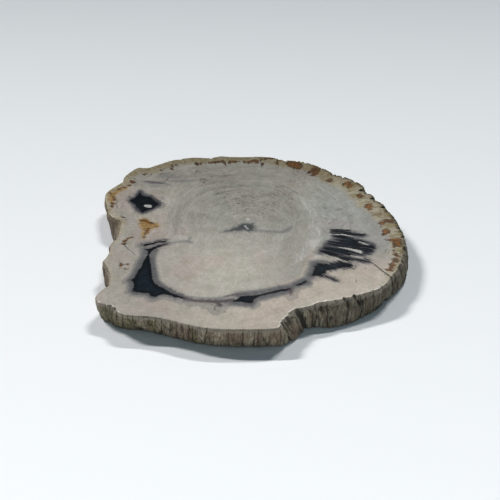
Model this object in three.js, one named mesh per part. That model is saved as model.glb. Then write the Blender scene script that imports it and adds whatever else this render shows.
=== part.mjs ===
// Petrified wood slab: a cross-cut of a fossil log, ground flat on both faces, with the bark rim left natural.
// Millimetres, +Z up. The origin is at the centre of the slab's box, on the plane that it rests on.
// The front of the slab, with the broken step, faces -Y, and +X is to its right.
import {
  BufferGeometry,
  CatmullRomCurve3,
  Float32BufferAttribute,
  Group,
  Mesh,
  MeshStandardMaterial,
  ShapeUtils,
  Vector2,
  Vector3,
} from 'three';

// Driving dimensions
const THICKNESS = 28; // between the two ground faces
const COLUMNS_PER_LINE = 3; // upright columns of the mesh for each rim line
const FOOT_ROUND = 1.6; // how far the lower arris is worn back
const FOOT_ROUND_HEIGHT = 2.2;
const BEVEL_HEIGHT = 4; // pale worn band under the polished face
const RIM_BULGE = 1.4; // how far the rim stands out at mid height
const FLUTE_DEPTH = 0.9; // depth of the bark's upright flutes
const FLUTES_WIDE = 61; // broad flutes around the rim
const FLUTES_NARROW = 97; // narrow flutes around the rim

// Heights of the mesh's levels, from the lower face to the polished face
const LEVELS = [0, FOOT_ROUND_HEIGHT, 9, 16.5, THICKNESS - BEVEL_HEIGHT, THICKNESS];

// Rim lines that all lean by the same step, from where they meet the polished face to their foot
function leaning(stepX, stepY, places) {
  return places.map(([x, y]) => [x, y, x + stepX, y + stepY]);
}

// Upright lines of the rim, counter-clockwise from the middle of the front, one for every bump and hollow.
// Each is [x, y] where it meets the polished face, then [x, y] at its foot. They are measured from a point
// near the middle of the heartwood, and the slab is put over the origin once it is made.
const RIM_LINES = [
  // front, middle to the broken step
  ...leaning(0, 3, [[-6, -150], [8, -150], [20, -149]]),
  [28, -147, 32, -145],
  // broken step in the front edge
  [31, -141, 38, -141],
  [33, -134, 43, -138],
  [38, -130, 48, -134],
  [39, -124, 51, -130],
  [44, -120, 54, -125],
  [54, -116, 59, -120],
  // front right, foot flaring outwards
  [64, -112, 67, -117],
  [70, -108, 75, -117],
  [80, -106, 82, -118],
  [92, -103, 94, -115],
  [103, -99, 106, -110],
  [112, -96, 115, -104],
  [121, -92, 124, -97],
  [132, -87, 135, -88],
  [140, -81, 143, -79],
  // right side, from the crack to the widest point
  [146, -74, 149, -71],
  [149, -67, 155, -64],
  ...leaning(9, 6, [[152, -62], [157, -55], [162, -46], [165, -35], [168, -24]]),
  [171, -12, 178, -6],
  [172, 0, 177, 6],
  [172, 12, 175, 16],
  // right back, scalloped bark
  ...leaning(3, 3, [[170, 22], [168, 33], [166, 43], [162, 54], [157, 65], [155, 73], [147, 81], [145, 90]]),
  ...leaning(3, 2, [[135, 101], [135, 111], [126, 122], [114, 131], [102, 137], [92, 148], [80, 157]]),
  ...leaning(2, 1, [[66, 165], [50, 168], [38, 170]]),
  // back
  ...leaning(0, -2, [[27, 175], [10, 177], [-10, 176], [-28, 177]]),
  ...leaning(-1, -4, [[-38, 178], [-50, 174], [-70, 175], [-86, 172], [-100, 167], [-113, 159]]),
  // left back shoulder
  ...leaning(2, -3, [[-127, 151], [-139, 151], [-146, 143], [-153, 131], [-154, 121], [-163, 109]]),
  ...leaning(3, -1, [[-171, 97], [-172, 86], [-168, 68]]),
  // left side, broken corner that slopes outwards
  [-164, 52, -163, 52],
  [-157, 44, -162, 44],
  [-149, 38, -160, 34],
  [-148, 24, -159, 24],
  [-149, 9, -156, 14],
  // left side, notch and two lobes
  [-150, 3, -151, 6],
  ...leaning(2, 0, [[-154, -3], [-156, -11], [-155, -20]]),
  ...leaning(1, 0, [[-157, -29], [-160, -37]]),
  [-155, -48, -160, -48],
  [-151, -59, -156, -57],
  [-149, -70, -151, -66],
  [-149, -79, -148, -77],
  // front left lobe, foot set in under the face
  ...leaning(3, 2, [[-155, -86], [-161, -97], [-158, -107], [-150, -111]]),
  [-142, -115, -143, -114],
  [-137, -122, -137, -117],
  ...leaning(0, 8, [[-130, -127], [-118, -129]]),
  [-104, -130, -104, -124],
  [-90, -133, -90, -129],
  // front, left of the middle
  ...leaning(0, 4, [[-76, -138], [-60, -144], [-44, -148], [-26, -150]]),
];

// A closed smooth curve through one end of every rim line
function rimCurve(first) {
  const points = RIM_LINES.map((line) => new Vector3(line[first], line[first + 1], 0));
  return new CatmullRomCurve3(points, true, 'centripetal');
}

// Evenly stepped points of a rim curve, a few for each rim line, so that top and foot stay paired
function rimPoints(curve) {
  const count = RIM_LINES.length * COLUMNS_PER_LINE;
  return Array.from({ length: count }, (_, index) => curve.getPoint(index / count));
}

// Unit vector that points out of the slab, level, at one column
function outward(points, index) {
  const count = points.length;
  const before = points[(index + count - 2) % count];
  const after = points[(index + 2) % count];
  return new Vector3(after.y - before.y, before.x - after.x, 0).normalize();
}

// How far the bark stands out from the straight rim line, at a turn round the rim and a share of the height
function barkRelief(turn, share) {
  const bulge = RIM_BULGE * Math.sin(Math.PI * share);
  const wide = Math.sin(FLUTES_WIDE * turn + 1.3 * Math.sin(5 * turn));
  const narrow = Math.sin(FLUTES_NARROW * turn + 0.8 * Math.sin(7 * turn));
  const flutes = FLUTE_DEPTH * (0.6 * wide + 0.4 * narrow) * Math.sin(Math.PI * Math.min(1, share * 1.1));
  return bulge + flutes;
}

// Loft of the rim between its foot and the polished face, closed by the two flat faces
function slabGeometry() {
  const top = rimPoints(rimCurve(0));
  const foot = rimPoints(rimCurve(2));
  const columns = top.length;
  const positions = [];
  for (const height of LEVELS) {
    const share = height / THICKNESS;
    for (let index = 0; index < columns; index += 1) {
      const point = foot[index].clone().lerp(top[index], share);
      const wornBack = height === 0 ? FOOT_ROUND : 0;
      const turn = (2 * Math.PI * index) / columns;
      point.addScaledVector(outward(top, index), barkRelief(turn, share) - wornBack);
      positions.push(point.x, point.y, height);
    }
  }

  const indices = [];
  for (let level = 0; level < LEVELS.length - 1; level += 1) {
    for (let index = 0; index < columns; index += 1) {
      const next = (index + 1) % columns;
      const low = level * columns;
      const high = low + columns;
      indices.push(low + index, low + next, high + next);
      indices.push(low + index, high + next, high + index);
    }
  }
  addFace(indices, positions, 0, columns, false);
  addFace(indices, positions, (LEVELS.length - 1) * columns, columns, true);

  const geometry = new BufferGeometry();
  geometry.setAttribute('position', new Float32BufferAttribute(positions, 3));
  geometry.setIndex(indices);
  return geometry;
}

// One flat face over the ring of vertices that starts at a given index
function addFace(indices, positions, start, columns, facesUp) {
  const outline = Array.from({ length: columns }, (_, index) => {
    const at = 3 * (start + index);
    return new Vector2(positions[at], positions[at + 1]);
  });
  for (const [a, b, c] of ShapeUtils.triangulateShape(outline, [])) {
    const triangle = facesUp ? [a, b, c] : [a, c, b];
    indices.push(...triangle.map((corner) => start + corner));
  }
}

// Puts the slab's box over the origin
function centre(geometry) {
  geometry.computeBoundingBox();
  const middle = geometry.boundingBox.getCenter(new Vector3());
  geometry.translate(-middle.x, -middle.y, 0);
  geometry.computeVertexNormals();
  return geometry;
}

const stone = new MeshStandardMaterial({ color: 0xa09890, roughness: 0.4, metalness: 0 });

const slab = new Mesh(centre(slabGeometry()), stone);
slab.name = 'petrified_wood_slab';

const part = new Group();
part.add(slab);

export default part;
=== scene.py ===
"""A polished cross-cut slab of petrified wood, lying on a plain pale floor."""
import math
from types import SimpleNamespace

import bmesh
import bpy
import numpy as np
from bpy.props import FloatProperty, FloatVectorProperty, IntProperty, PointerProperty
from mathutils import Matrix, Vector
from mathutils.geometry import delaunay_2d_cdt
from mathutils.kdtree import KDTree


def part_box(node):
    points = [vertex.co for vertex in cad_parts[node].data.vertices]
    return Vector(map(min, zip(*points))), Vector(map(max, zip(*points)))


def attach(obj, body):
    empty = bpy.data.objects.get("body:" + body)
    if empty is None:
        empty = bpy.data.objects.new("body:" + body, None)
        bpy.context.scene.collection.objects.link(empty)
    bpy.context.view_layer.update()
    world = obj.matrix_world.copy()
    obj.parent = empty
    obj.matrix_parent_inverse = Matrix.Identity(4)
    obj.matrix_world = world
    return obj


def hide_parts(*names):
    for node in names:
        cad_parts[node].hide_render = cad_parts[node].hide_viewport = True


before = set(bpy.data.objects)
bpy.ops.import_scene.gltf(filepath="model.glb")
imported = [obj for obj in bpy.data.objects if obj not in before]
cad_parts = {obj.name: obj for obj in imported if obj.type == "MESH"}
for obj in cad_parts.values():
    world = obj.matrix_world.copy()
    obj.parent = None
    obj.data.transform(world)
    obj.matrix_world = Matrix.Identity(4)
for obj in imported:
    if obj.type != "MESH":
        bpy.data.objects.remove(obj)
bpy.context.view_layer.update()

bl_info = {
    "name": "Petrified Wood Slab",
    "version": (1, 0, 0),
    "blender": (4, 5, 0),
    "location": "View3D > Sidebar > Slab",
    "description": "A polished slab of petrified wood with a natural bark rim, and a plain studio stage",
    "category": "Add Mesh",
}

MM = 0.001
NODE = "petrified_wood_slab"
LOW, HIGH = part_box(NODE)
THICKNESS = (HIGH.z - LOW.z) / MM
FACE, RIM, UNDERSIDE = range(3)  # material indices
SAME_PLACE = 1e-6  # metres within which two of the solid's points are one

# ---------------------------------------------------------------------------------------------------
# The slab's figure. Every place is in millimetres in the slab's own frame, seen from above.
# ---------------------------------------------------------------------------------------------------

PITH = (-8.0, 12.0)
HEART_GROWTH, EDGE_GROWTH = 100.0, 145.0  # growth at the heartwood's last ring and at the slab's edge

# How wide the sapwood is, by the turn from the pith in degrees; under nought there is none
SAPWOOD_WIDTHS = [
    (-180, 2), (-150, 0), (-120, -4), (-60, -4), (-38, 0), (-25, 8), (0, 20), (25, 24), (45, 21), (60, 17),
    (80, 13), (100, 13), (120, 13), (145, 10), (165, 7), (180, 2),
]

# The ring where the heartwood ends, around the pith
HEART_RING = [
    (70, 12), (70, 45), (60, 75), (40, 99), (10, 112), (-25, 115), (-60, 104), (-84, 82), (-98, 52),
    (-99, 20), (-99, -8), (-104, -32), (-106, -52), (-102, -76), (-90, -96), (-72, -112), (-50, -119),
    (-28, -114), (0, -102), (28, -93), (48, -80), (57, -58), (62, -25),
]

# Black mineral pools; the blue in the middle of those in front is a painted reflection
INK_PATCHES = {
    "left_pool": [
        (-120, -30), (-116.5, -33), (-116, -40), (-118, -48), (-120, -55), (-121, -62), (-123.5, -68),
        (-126, -76), (-127.5, -82), (-131, -84.5), (-127.5, -87.5), (-126, -95), (-127, -103), (-122, -105),
        (-117, -106), (-110, -107), (-107, -111), (-102, -113), (-98, -110), (-93, -108.5), (-87, -110),
        (-82, -113), (-76, -114), (-70, -116), (-76, -111.5), (-82, -108), (-88, -104), (-95, -98),
        (-102, -92), (-106, -86), (-107.5, -78), (-109, -70), (-110.5, -60), (-112, -50), (-113.5, -42),
        (-112, -35), (-109, -30), (-104, -26), (-100, -22), (-105, -23), (-110, -26.5), (-115, -29),
    ],
    "front_lens": [
        (-22, -119.5), (-16, -116), (-13, -112), (-6, -110.5), (2, -110), (10, -107.5), (18, -104.5),
        (25, -101.5), (33, -99.5), (35, -102.5), (28, -104.5), (20, -107.5), (10, -110.5), (4, -114),
        (1, -118), (-1, -123), (-8, -122), (-14, -120.5), (-18, -121),
    ],
    "bridge": [(46, -93), (50, -93.5), (55, -90), (58, -87.5), (56, -85.5), (52, -88.5)],
    "right_hook": [
        (63, -76.5), (66, -68), (67, -60), (70, -57), (78, -56), (88, -54), (97, -53.5), (105, -55.5),
        (108.5, -59.5), (106, -62), (98, -62.5), (93, -65), (84, -66), (80, -68.5), (79, -71.5),
        (74, -74), (69, -77.5),
    ],
    "feather_tip": [
        (90, 4), (100, 4.5), (108, 3.5), (113, 0.5), (119, -1.5), (125, -2.5), (122, -6), (114, -4),
        (108, -1), (100, -0.5), (92, 1),
    ],
    "feather_high": [
        (93, -6), (99, -4.5), (106, -5.5), (112, -8.5), (116, -12.5), (122, -14), (128, -17), (129, -20),
        (122, -18), (118, -18.5), (121, -22), (128, -23), (132, -20.5), (135, -23), (133, -29),
        (130, -35), (125, -38.5), (121, -39), (123, -35), (124, -31), (118, -29), (108, -27),
        (97, -25), (90, -25.5), (84, -24.5), (82, -20), (88, -17), (94, -17.5), (97, -14), (95, -11),
    ],
    "feather_low": [
        (74, -34), (79, -30), (83, -25), (90, -25.5), (97, -27), (104, -31), (108, -35), (114, -37),
        (120, -39.5), (112, -39.5), (106, -41.5), (98, -41.5), (90, -40), (82, -37.5),
    ],
    "feather_foot": [
        (96, -42), (104, -43), (110, -44.5), (116, -46.5), (122, -49), (128, -52), (122, -53),
        (114, -51.5), (106, -50.5), (100, -49), (98, -45),
    ],
    "back_diamond": [
        (-145, 66), (-140, 71), (-137, 77), (-134, 84), (-132, 78), (-127, 74.5), (-121, 73.5),
        (-117, 67), (-112, 61), (-110, 58.5), (-114, 53), (-118, 48), (-124, 45), (-128.5, 41),
        (-132, 47), (-136, 52), (-138, 58), (-142, 62),
    ],
}

# Dark strokes: (x, y, half width) along each
INK_STROKES = [
    [(64, -74, 1.0), (70, -75, 1.7), (76, -77, 1.0), (83, -81, 0.5), (90, -86, 0.2)],
    [(33, -101, 0.8), (36, -100.5, 1.5), (39, -99.5, 0.6)],
    [(-119.5, -22, 1.9), (-112, -19.5, 1.4), (-105, -16, 1.3), (-98, -15, 0.7)],
    [(-110, -27, 1.6), (-103, -23.2, 1.4), (-97, -21, 0.6)],
]

# Grey, half-clear washes beside the pools
WASH_PATCHES = [
    [  # inside the left pool
        (-108, -30), (-104, -33), (-106, -45), (-104, -60), (-101.5, -72), (-100, -80), (-97, -88),
        (-90, -95), (-82, -103), (-76, -108), (-68, -114), (-76, -114), (-90, -107), (-105, -90),
        (-109, -75), (-113, -50),
    ],
    [  # outside the left pool
        (-119, -27), (-123, -34), (-124, -44), (-127, -54), (-128, -64), (-130, -72), (-131, -80),
        (-133, -88), (-131, -98), (-129, -106), (-122, -109), (-112, -110), (-105, -116), (-100, -114),
        (-112, -104), (-122, -80), (-117, -48),
    ],
    [  # above the front lens
        (-23, -111), (-20, -104.5), (-10, -102.5), (2, -100.5), (14, -98), (26, -94.5), (38, -91),
        (50, -84), (60, -78), (62, -62), (60, -52), (66, -50), (76, -49), (84, -53), (70, -58), (68, -76),
        (62, -84), (62, -98), (58, -93), (46, -97), (36, -104), (20, -104), (0, -109), (-14, -113),
    ],
    [  # below the front lens
        (-30, -127), (-20, -126.5), (-8, -130), (-3, -128), (0, -133), (2.5, -125), (8, -118.5),
        (15, -117), (22, -114), (30, -110.5), (36, -108.5), (38, -103), (28, -103), (12, -109),
        (2, -116), (-10, -121), (-22, -119),
    ],
    [
        (-145, 60), (-141, 74), (-137, 87), (-131, 84), (-120, 77), (-112, 68), (-106, 57), (-114, 48),
        (-128, 38),
    ],
    [
        (84, -13), (92, -8), (100, -4), (120, -10), (134, -17), (137, -26), (132, -38), (110, -44),
        (80, -38), (72, -34),
    ],
    [(80, -79), (84, -81), (89, -86), (84, -85), (78, -81)],
]

# Thin grey or mauve lines that follow a ring
WASH_STROKES = [
    [
        (20, -104, 3.6), (36, -99, 3.8), (48, -91, 4.6), (59, -82, 5.0), (64, -70, 4.4), (65, -58, 3.6),
        (72, -52, 3.0),
    ],
    [(-76, -109, 0.6), (-62, -114, 1.6), (-46, -116, 2.4), (-30, -114, 2.4), (-20, -109, 1.6)],
    [(-113, 117, 0.8), (-104, 119, 2.2), (-96, 116, 1.8), (-87, 118, 0.8)],
    [(-101, 108, 0.8), (-91, 107, 2.4), (-79, 108, 1.6), (-69, 110, 0.6)],
    [(-124, 97, 0.6), (-117, 96, 1.4), (-109, 97, 0.6)],
    [(-136, 108, 0.6), (-127, 106.5, 2.4), (-118, 104.5, 3.4), (-108, 103, 2.6), (-98, 98, 1.0)],
    [(-98, -20, 1.2), (-88, -17.5, 1.6), (-75, -15, 1.4), (-71, -16, 2.4), (-67, -18, 1.0)],
    [(-70, -8, 0.9), (-72, -14, 1.8)],
    [(3, 6, 2.2), (20, 3, 1.6), (34, 3, 2.0), (40, 7, 3.0), (44, 12, 1.6)],
    [(-134, 106, 0.8), (-127, 104.5, 1.9), (-120, 102.5, 2.4), (-111, 104, 1.2)],
    [(-108, 62, 0.7), (-104, 58, 1.0), (-104, 53, 1.0), (-108, 50, 0.7)],
    [(-107.5, 70, 1.1), (-107, 72, 1.1)],
    [(90, -7, 0.8), (97, -7.5, 1.1)],
    [(112, -4, 0.9), (124, -6, 1.0), (131, -7, 0.6)],
]
MAUVE_STROKES = [
    [
        (-74, -114, 1.2), (-62, -118.6, 2.4), (-50, -119.6, 2.8), (-38, -120, 3.2), (-28, -119.5, 2.8),
        (-20, -117, 1.4),
    ],
    [(-37, -121, 3.4), (-34, -126, 3.2)],
    [(-130, 107, 0.5), (-121, 105, 1.8), (-111, 103.5, 1.4), (-104, 102, 0.4)],
    [(-39, -128, 0.8), (-39, -134, 0.5)],
    [(38, -99, 3.0), (40, -104, 2.6), (40, -109, 1.0)],
    [(-30, -112, 0.6), (-24, -110, 1.2), (-16, -108, 0.8)],
]
# Sooty patch around the pith
SOOT_PATCHES = [
    [
        (-37, 2), (-30, 6), (-24, 11), (-18, 15), (-14, 18.5), (-9, 21), (-3, 20), (1, 22), (2.5, 17),
        (3, 10), (1, 4), (-5, 2.5), (-10, 5), (-13, 3), (-20, 3), (-28, 1.5),
    ],
]

# Pale quartz streaks and growth arcs
PALE_STROKES = [
    [(95, -26, 0.5), (103, -28, 1.2), (110, -30.5, 1.5), (118, -34, 2.4), (119, -36, 1.6)],
    [(108, -41.5, 0.5), (116, -44, 1.1), (121, -46, 0.5)],
    [(119, -16, 0.6), (124, -19, 1.2), (129, -22, 0.5)],
    [(-125, 55, 2.2), (-121, 54, 3.0)],
    [(-6, 29, 1.4), (-5, 27, 1.6)],
    [(-9, 15, 0.7), (-7, 11, 1.0), (-5, 8, 0.7)],
    [(92, -2.4, 0.5), (102, -2.2, 1.1), (112, -6, 0.5)],
]
PALE_ARCS = [
    [
        (40, 92, 0.5), (58, 70, 2.5), (68, 44, 5.0), (72, 14, 7.0), (70, -10, 7.5), (62, -30, 6.5),
        (52, -46, 4.0), (40, -60, 0.5),
    ],
    [(-90, -10, 0.5), (-84, -6, 3.0), (-76, -8, 3.0), (-70, -14, 1.0)],
    [(-28, 30, 0.5), (-16, 36, 2.0), (0, 36, 2.0), (12, 30, 0.5)],
    [(86, -24, 0.5), (80, -34, 3.0), (72, -42, 3.0), (64, -46, 0.5)],
]

# Faint dark arcs and mottles in the heartwood
SHADE_STROKES = [
    [
        (-84, -6, 0.4), (-89, 12, 1.4), (-88, 32, 2.2), (-83, 52, 2.0), (-72, 70, 2.6), (-56, 86, 2.2),
        (-40, 95, 0.8),
    ],
    [(-50, 77, 1.6), (-42, 81, 2.6), (-32, 84, 2.2), (-24, 80, 1.0)],
    [(-38, 96, 1.8), (-28, 95, 2.8), (-16, 97, 1.6), (-4, 96, 0.8)],
    [(-20, 71, 1.4), (-14, 63, 2.4), (-8, 58, 1.2)],
    [(14, 76, 1.2), (22, 79, 2.6), (30, 76, 1.6)],
    [(-52, 104, 0.8), (-44, 106, 2.0), (-30, 107, 2.0), (-10, 106, 0.6)],
    [(44, 60, 0.6), (52, 44, 1.6), (54, 26, 1.6), (48, 10, 0.6)],
    [(-62, 40, 0.6), (-55, 34, 2.2), (-48, 30, 1.6)],
]

# Rust and ochre blotches, most of them in the sapwood
RUST_PATCHES = [
    [(43, 151), (50, 153), (57, 152), (62, 147), (62, 140), (58, 134), (53, 136), (47, 140), (43, 145)],
    [
        (74, 140), (80, 142), (84, 135), (82, 127), (80, 121), (75, 118), (71, 121), (73, 127),
        (67, 126), (66, 129.5), (72, 133),
    ],
    [(98, 115), (97, 109), (93, 105), (90, 109), (94, 112)],
    [(110, 103), (116, 107), (121, 103), (121, 98), (118, 93), (115, 91), (113, 96), (109, 99)],
    [(122, 77), (128, 81), (133, 78), (131, 73), (127, 67), (124, 71)],
    [(133, 52), (136, 59), (140, 56), (139, 50), (136, 48)],
    [(144, 21), (150, 25), (158, 26), (163, 24), (161, 20), (154, 21), (150, 16), (148, 12), (145, 14)],
    [(148, 8), (153, 8), (156, 4), (151, -1), (147, -4), (148, 2)],
    [
        (147, -9.5), (153, -10.5), (158, -9), (163, -8), (167, -14), (167, -22), (164, -25), (158, -24),
        (156, -18), (152, -13),
    ],
    [
        (158, -40), (161, -46), (157, -55), (153, -62), (152, -68), (147, -69), (144, -67), (148, -60),
        (151, -54), (154, -45),
    ],
    [(-168, 57), (-165, 60.5), (-162, 57), (-163, 53), (-166, 53)],
    [(-147, -52), (-143, -53), (-141, -58), (-142, -63), (-146, -65), (-145, -58)],
]
RUST_STROKES = [
    [
        (-58, 149, 1.6), (-50, 149.5, 2.4), (-44, 151, 2.8), (-40, 152, 3.2), (-36, 150.5, 2.6),
        (-33, 146, 1.6),
    ],
    [
        (-30, 149, 2.0), (-26, 151.5, 2.8), (-18, 152, 2.4), (-11, 152, 2.6), (-8, 151, 2.2),
        (-3, 151.5, 2.8), (3, 153, 3.4), (8, 152, 3.4),
    ],
    [(-134, -5, 0.8), (-139, -9, 1.7), (-143.5, -15, 2.0), (-144, -19, 1.4), (-142, -23, 0.8)],
    [(8, 153, 3.0), (11, 157, 2.2), (18, 160, 2.4), (24, 160, 1.6)],
    [(10, 151, 2.0), (12, 145, 1.5)],
    [(-70, 147.5, 2.2), (-68, 146.5, 2.2)],
    [(-64, 148.5, 1.5), (-63, 148, 1.5)],
    [(-96, 144, 1.4), (-93, 144.5, 1.8)],
    [(-100, 142, 1.8), (-98, 135, 1.6)],
    [(-112, 133, 0.9), (-107, 136, 1.1)],
    [(34, 158, 2.2), (31, 151, 1.8), (28, 142, 1.2), (28, 139, 0.9)],
    [(-164, 66, 1.6), (-162, 67, 1.0)],
    [(-171, 82, 0.7), (-167, 76, 1.2), (-163, 70, 0.8)],
    [(-161, 90, 0.9), (-156, 94, 1.4), (-151, 97, 1.7), (-147, 100, 1.0)],
    [(-146, 104, 1.2), (-143.5, 109, 1.7), (-144, 112, 0.8)],
    [(-132, 123, 1.2), (-129, 124, 1.4)],
    [(157, -26, 0.9), (156, -33, 1.2), (158, -38, 0.9)],
    [(139, 37, 0.6), (146, 38, 1.0), (149, 37, 0.5)],
    [(-152, 34, 0.6), (-149, 31, 1.2), (-146, 27, 0.7)],
    [(-139, -64, 1.0), (-137, -66, 1.0)],
    [(-138, -57, 0.7), (-136, -58, 0.7)],
]
OCHRE_PATCHES = [
    [
        (-131, 27), (-126, 30), (-121, 28), (-117, 22), (-113, 19), (-109, 20), (-107, 15), (-109, 12),
        (-113, 10), (-116, 6), (-119, 1), (-121, -2), (-122, -9), (-124, -8), (-125, 0), (-125, 6),
        (-128, 12), (-130, 18),
    ],
    [(-170, 80), (-160, 90), (-148, 99), (-153, 90), (-162, 80), (-163, 68), (-166, 60), (-170, 68)],
]
OCHRE_CORES = [
    [(-128, 27, 1.6), (-122, 24, 2.4), (-117, 19, 1.4)],
    [(-113, 18, 1.0), (-109.5, 14, 1.6)],
    [(-119, 9, 0.8), (-119, 2, 1.2), (-123, -5, 0.9)],
]

# Cracks that are open at the face: (x, y, half width)
CRACKS = [
    [
        (119, -39, 0.25), (124, -47, 0.45), (128, -52.5, 0.55), (133, -58, 0.6), (137, -64, 0.65),
        (141, -70, 0.75), (146.5, -77, 0.9),
    ],
    [(-144, -18, 0.4), (-142, -23, 0.65), (-138, -29, 0.45), (-131, -37, 0.4), (-129, -41, 0.25)],
]
# Hairlines, stained but closed
HAIRLINES = [
    [(141, -76, 0.4), (144, -70, 0.4)],
    [(148, -30, 0.35), (146, -36, 0.45)],
    [(152, -30, 0.35), (149, -37, 0.45)],
    [(110, -82, 0.3), (110, -88, 0.5)],
    [(121, -63, 0.4), (123, -65, 0.6)],
    [(-124, 124, 0.5), (-124, 121, 0.7)],
]

# ---------------------------------------------------------------------------------------------------
# The bark rim. Grooves and dents are placed by the nearest upright line of the rim.
# ---------------------------------------------------------------------------------------------------

WHOLE = (-9.0, 40.0)  # a groove that runs the whole height

# (x, y, lowest, highest, half width, depth, lean along the rim from foot to face)
RIM_GROOVES = [
    (-93, -147, *WHOLE, 0.8, 1.6, 0.6), (-84, -149, *WHOLE, 0.7, 1.5, -0.5),
    (-77, -152, *WHOLE, 0.8, 2.0, 0.8),
    (-70, -155, -9, 24, 0.7, 1.8, 1.0), (-64, -158, *WHOLE, 0.9, 2.2, 1.5),
    (-61, -158, *WHOLE, 0.7, 1.8, 0.4),
    (-46, -161, *WHOLE, 0.8, 2.0, 2.0), (-38, -162, -9, 22, 0.6, 1.6, 1.6),
    (-24, -164, *WHOLE, 0.7, 1.5, 0.8),
    (-10, -163, -9, 26, 0.7, 2.0, 0.6), (2, -163, *WHOLE, 0.8, 1.8, 0.8), (5, -163, *WHOLE, 0.6, 1.4, 0.4),
    (17, -163, -9, 18, 0.7, 1.6, 0.8),
    (28, -154, *WHOLE, 1.3, 3.6, -3.0), (31, -150, 6, 40, 0.9, 2.0, -5.0),
    (45, -133, *WHOLE, 4.0, 3.0, -3.0), (52, -130, -9, 20, 1.2, 2.4, 0.5),
    (61, -127, -9, 24, 0.8, 1.6, 0.4), (67, -123, -9, 26, 0.9, 1.8, 0.6),
    (77, -120.5, *WHOLE, 0.9, 2.0, 0.5),
    (86, -119, -9, 22, 0.8, 1.5, 0.5), (97, -116, 14, 40, 0.7, 2.6, -3.0),
    (100, -115, *WHOLE, 0.7, 2.0, 2.6),
    (107, -112, 13, 40, 0.8, 2.8, -5.0), (111, -110.5, 16, 40, 0.7, 2.4, 4.0),
    (116, -108, 4, 25, 0.9, 2.2, 2.2),
    (113, -109, *WHOLE, 0.9, 2.0, 0.8), (118, -107, *WHOLE, 0.8, 1.6, 0.8),
    (127, -103, *WHOLE, 0.9, 1.8, 1.0),
    (137, -96, *WHOLE, 1.0, 2.2, 1.2), (147, -79, *WHOLE, 1.4, 3.4, 1.5), (150, -73, *WHOLE, 0.9, 2.2, 1.0),
    (155, -62, *WHOLE, 1.1, 2.6, 1.0), (160, -50, *WHOLE, 1.2, 2.8, 0.8), (164, -40, *WHOLE, 0.9, 2.2, 0.6),
    (167, -30, *WHOLE, 1.2, 2.8, 0.4), (169, -14, *WHOLE, 1.0, 2.4, 0.4), (168, 4, *WHOLE, 1.0, 2.2, 0.4),
    (-152, -124, *WHOLE, 0.9, 1.6, 0.4), (-145, -129, *WHOLE, 0.8, 1.6, 0.4),
    (-140, -136, *WHOLE, 0.9, 2.0, 0.6),
    (-134, -141, *WHOLE, 0.8, 1.8, 0.6),
]

# (x, y, height of the middle, reach along the rim, reach up, depth)
RIM_DENTS = [
    (96, -116, 27, 1.9, 4, 2.0), (107, -112, 28, 2.4, 5, 2.6), (113, -109, 19, 4.6, 5, 2.0),
    (70, -122, 22, 3.0, 4, 1.6), (66, -126, 14, 3.0, 4, 1.6), (80, -120, 11, 3.0, 5, 1.8),
    (140, -93, 3, 6.0, 5, 3.4), (131, -101, 4, 5.0, 3, 1.6), (36, -146, 24, 4.0, 8, 1.6),
    (-139, -129, 27, 3.0, 4, 1.6), (-146, -125, 27, 3.0, 4, 1.2), (-118, -143, 5, 9.0, 5, 1.4),
    (131, 88, 27, 2.6, 14, 4.4), (142, 70, 27, 2.6, 14, 4.6), (150, 52, 27, 2.8, 14, 4.4),
    (156, 44, 27, 2.0, 12, 3.2), (97, 123, 27, 2.2, 12, 3.6), (109, 114, 27, 2.2, 12, 3.4),
    (86, 138, 27, 1.8, 12, 2.4), (66, 150, 27, 1.8, 12, 2.4), (162, 30, 27, 2.2, 10, 3.0),
    (165, 20, 27, 1.8, 10, 2.6), (167, 10, 25, 2.4, 10, 3.2), (168, -6, 25, 2.2, 10, 2.8),
    (169, -26, 24, 2.2, 9, 2.4), (121, 102, 27, 1.6, 12, 2.2), (137, 80, 27, 1.6, 12, 2.4),
    (-163, 38, 18, 5.0, 8, 1.2), (-152, 6, 14, 4.0, 8, 1.6), (-158, -60, 16, 4.0, 7, 1.4),
    (40, 155, 26, 2.0, 10, 1.8), (-52, 160, 26, 2.4, 10, 1.4), (-90, 156, 25, 3.0, 9, 1.4),
]

# Where the rim is stained green and ochre: (x, y, reach)
MOSS = [(-150, -124, 24), (-128, -142, 12), (-103, -144, 9), (-163, -112, 14), (-60, -158, 6)]

EDGE_CHIPS = 44  # small chips at random places of the edge
FOLLOW_REACH = 12.0  # how far inside its edge a face still moves with the rim
FINE_REACH = 2.6  # how far from the edge of a stain the face's mesh is fine
EDGE_CLEARANCE = 0.8  # from the face's edge to the nearest of its inner vertices
UNDER_CLEARANCE = 1.5  # the same for the underside
CRACK_CLEARANCE = 0.75  # from a crack's own vertices to the nearest others
CRACK_STEEPNESS = 1.3  # a crack's depth for each millimetre of its half width
CRACK_WANDER = 0.3  # how far a crack wanders to each side of its line
CRACK_LIP = 0.25  # from a crack's own width to the vertices on both sides of it
CRACK_END = 1.3  # from the face's edge to the nearest vertex of a crack
REACH = 16.0  # distances to the figure are only worked out up to this many millimetres
SAW_CENTRE = (420.0, -160.0, 0.0)  # middle of the saw's arcs on the underside


# ---------------------------------------------------------------------------------------------------
# Plane geometry
# ---------------------------------------------------------------------------------------------------

def closed_curve(points, steps):
    """A smooth closed curve through points, with a number of steps from each to the next."""
    here = np.asarray(points, float)
    before, after, beyond = (np.roll(here, turn, 0)[:, None] for turn in (1, -1, -2))
    here = here[:, None]
    share = (np.arange(steps) / steps)[None, :, None]
    line = here + 0.5 * (after - before) * share
    bend = (before - 2.5 * here + 2 * after - 0.5 * beyond) * share**2
    twist = (1.5 * here - 0.5 * before - 1.5 * after + 0.5 * beyond) * share**3
    return (line + bend + twist).reshape(-1, here.shape[2])


def run_along(line):
    """How far along a line of rows each row is, by its first two columns."""
    return np.concatenate([[0], np.cumsum(np.hypot(*np.diff(line[:, :2], axis=0).T))])


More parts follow.
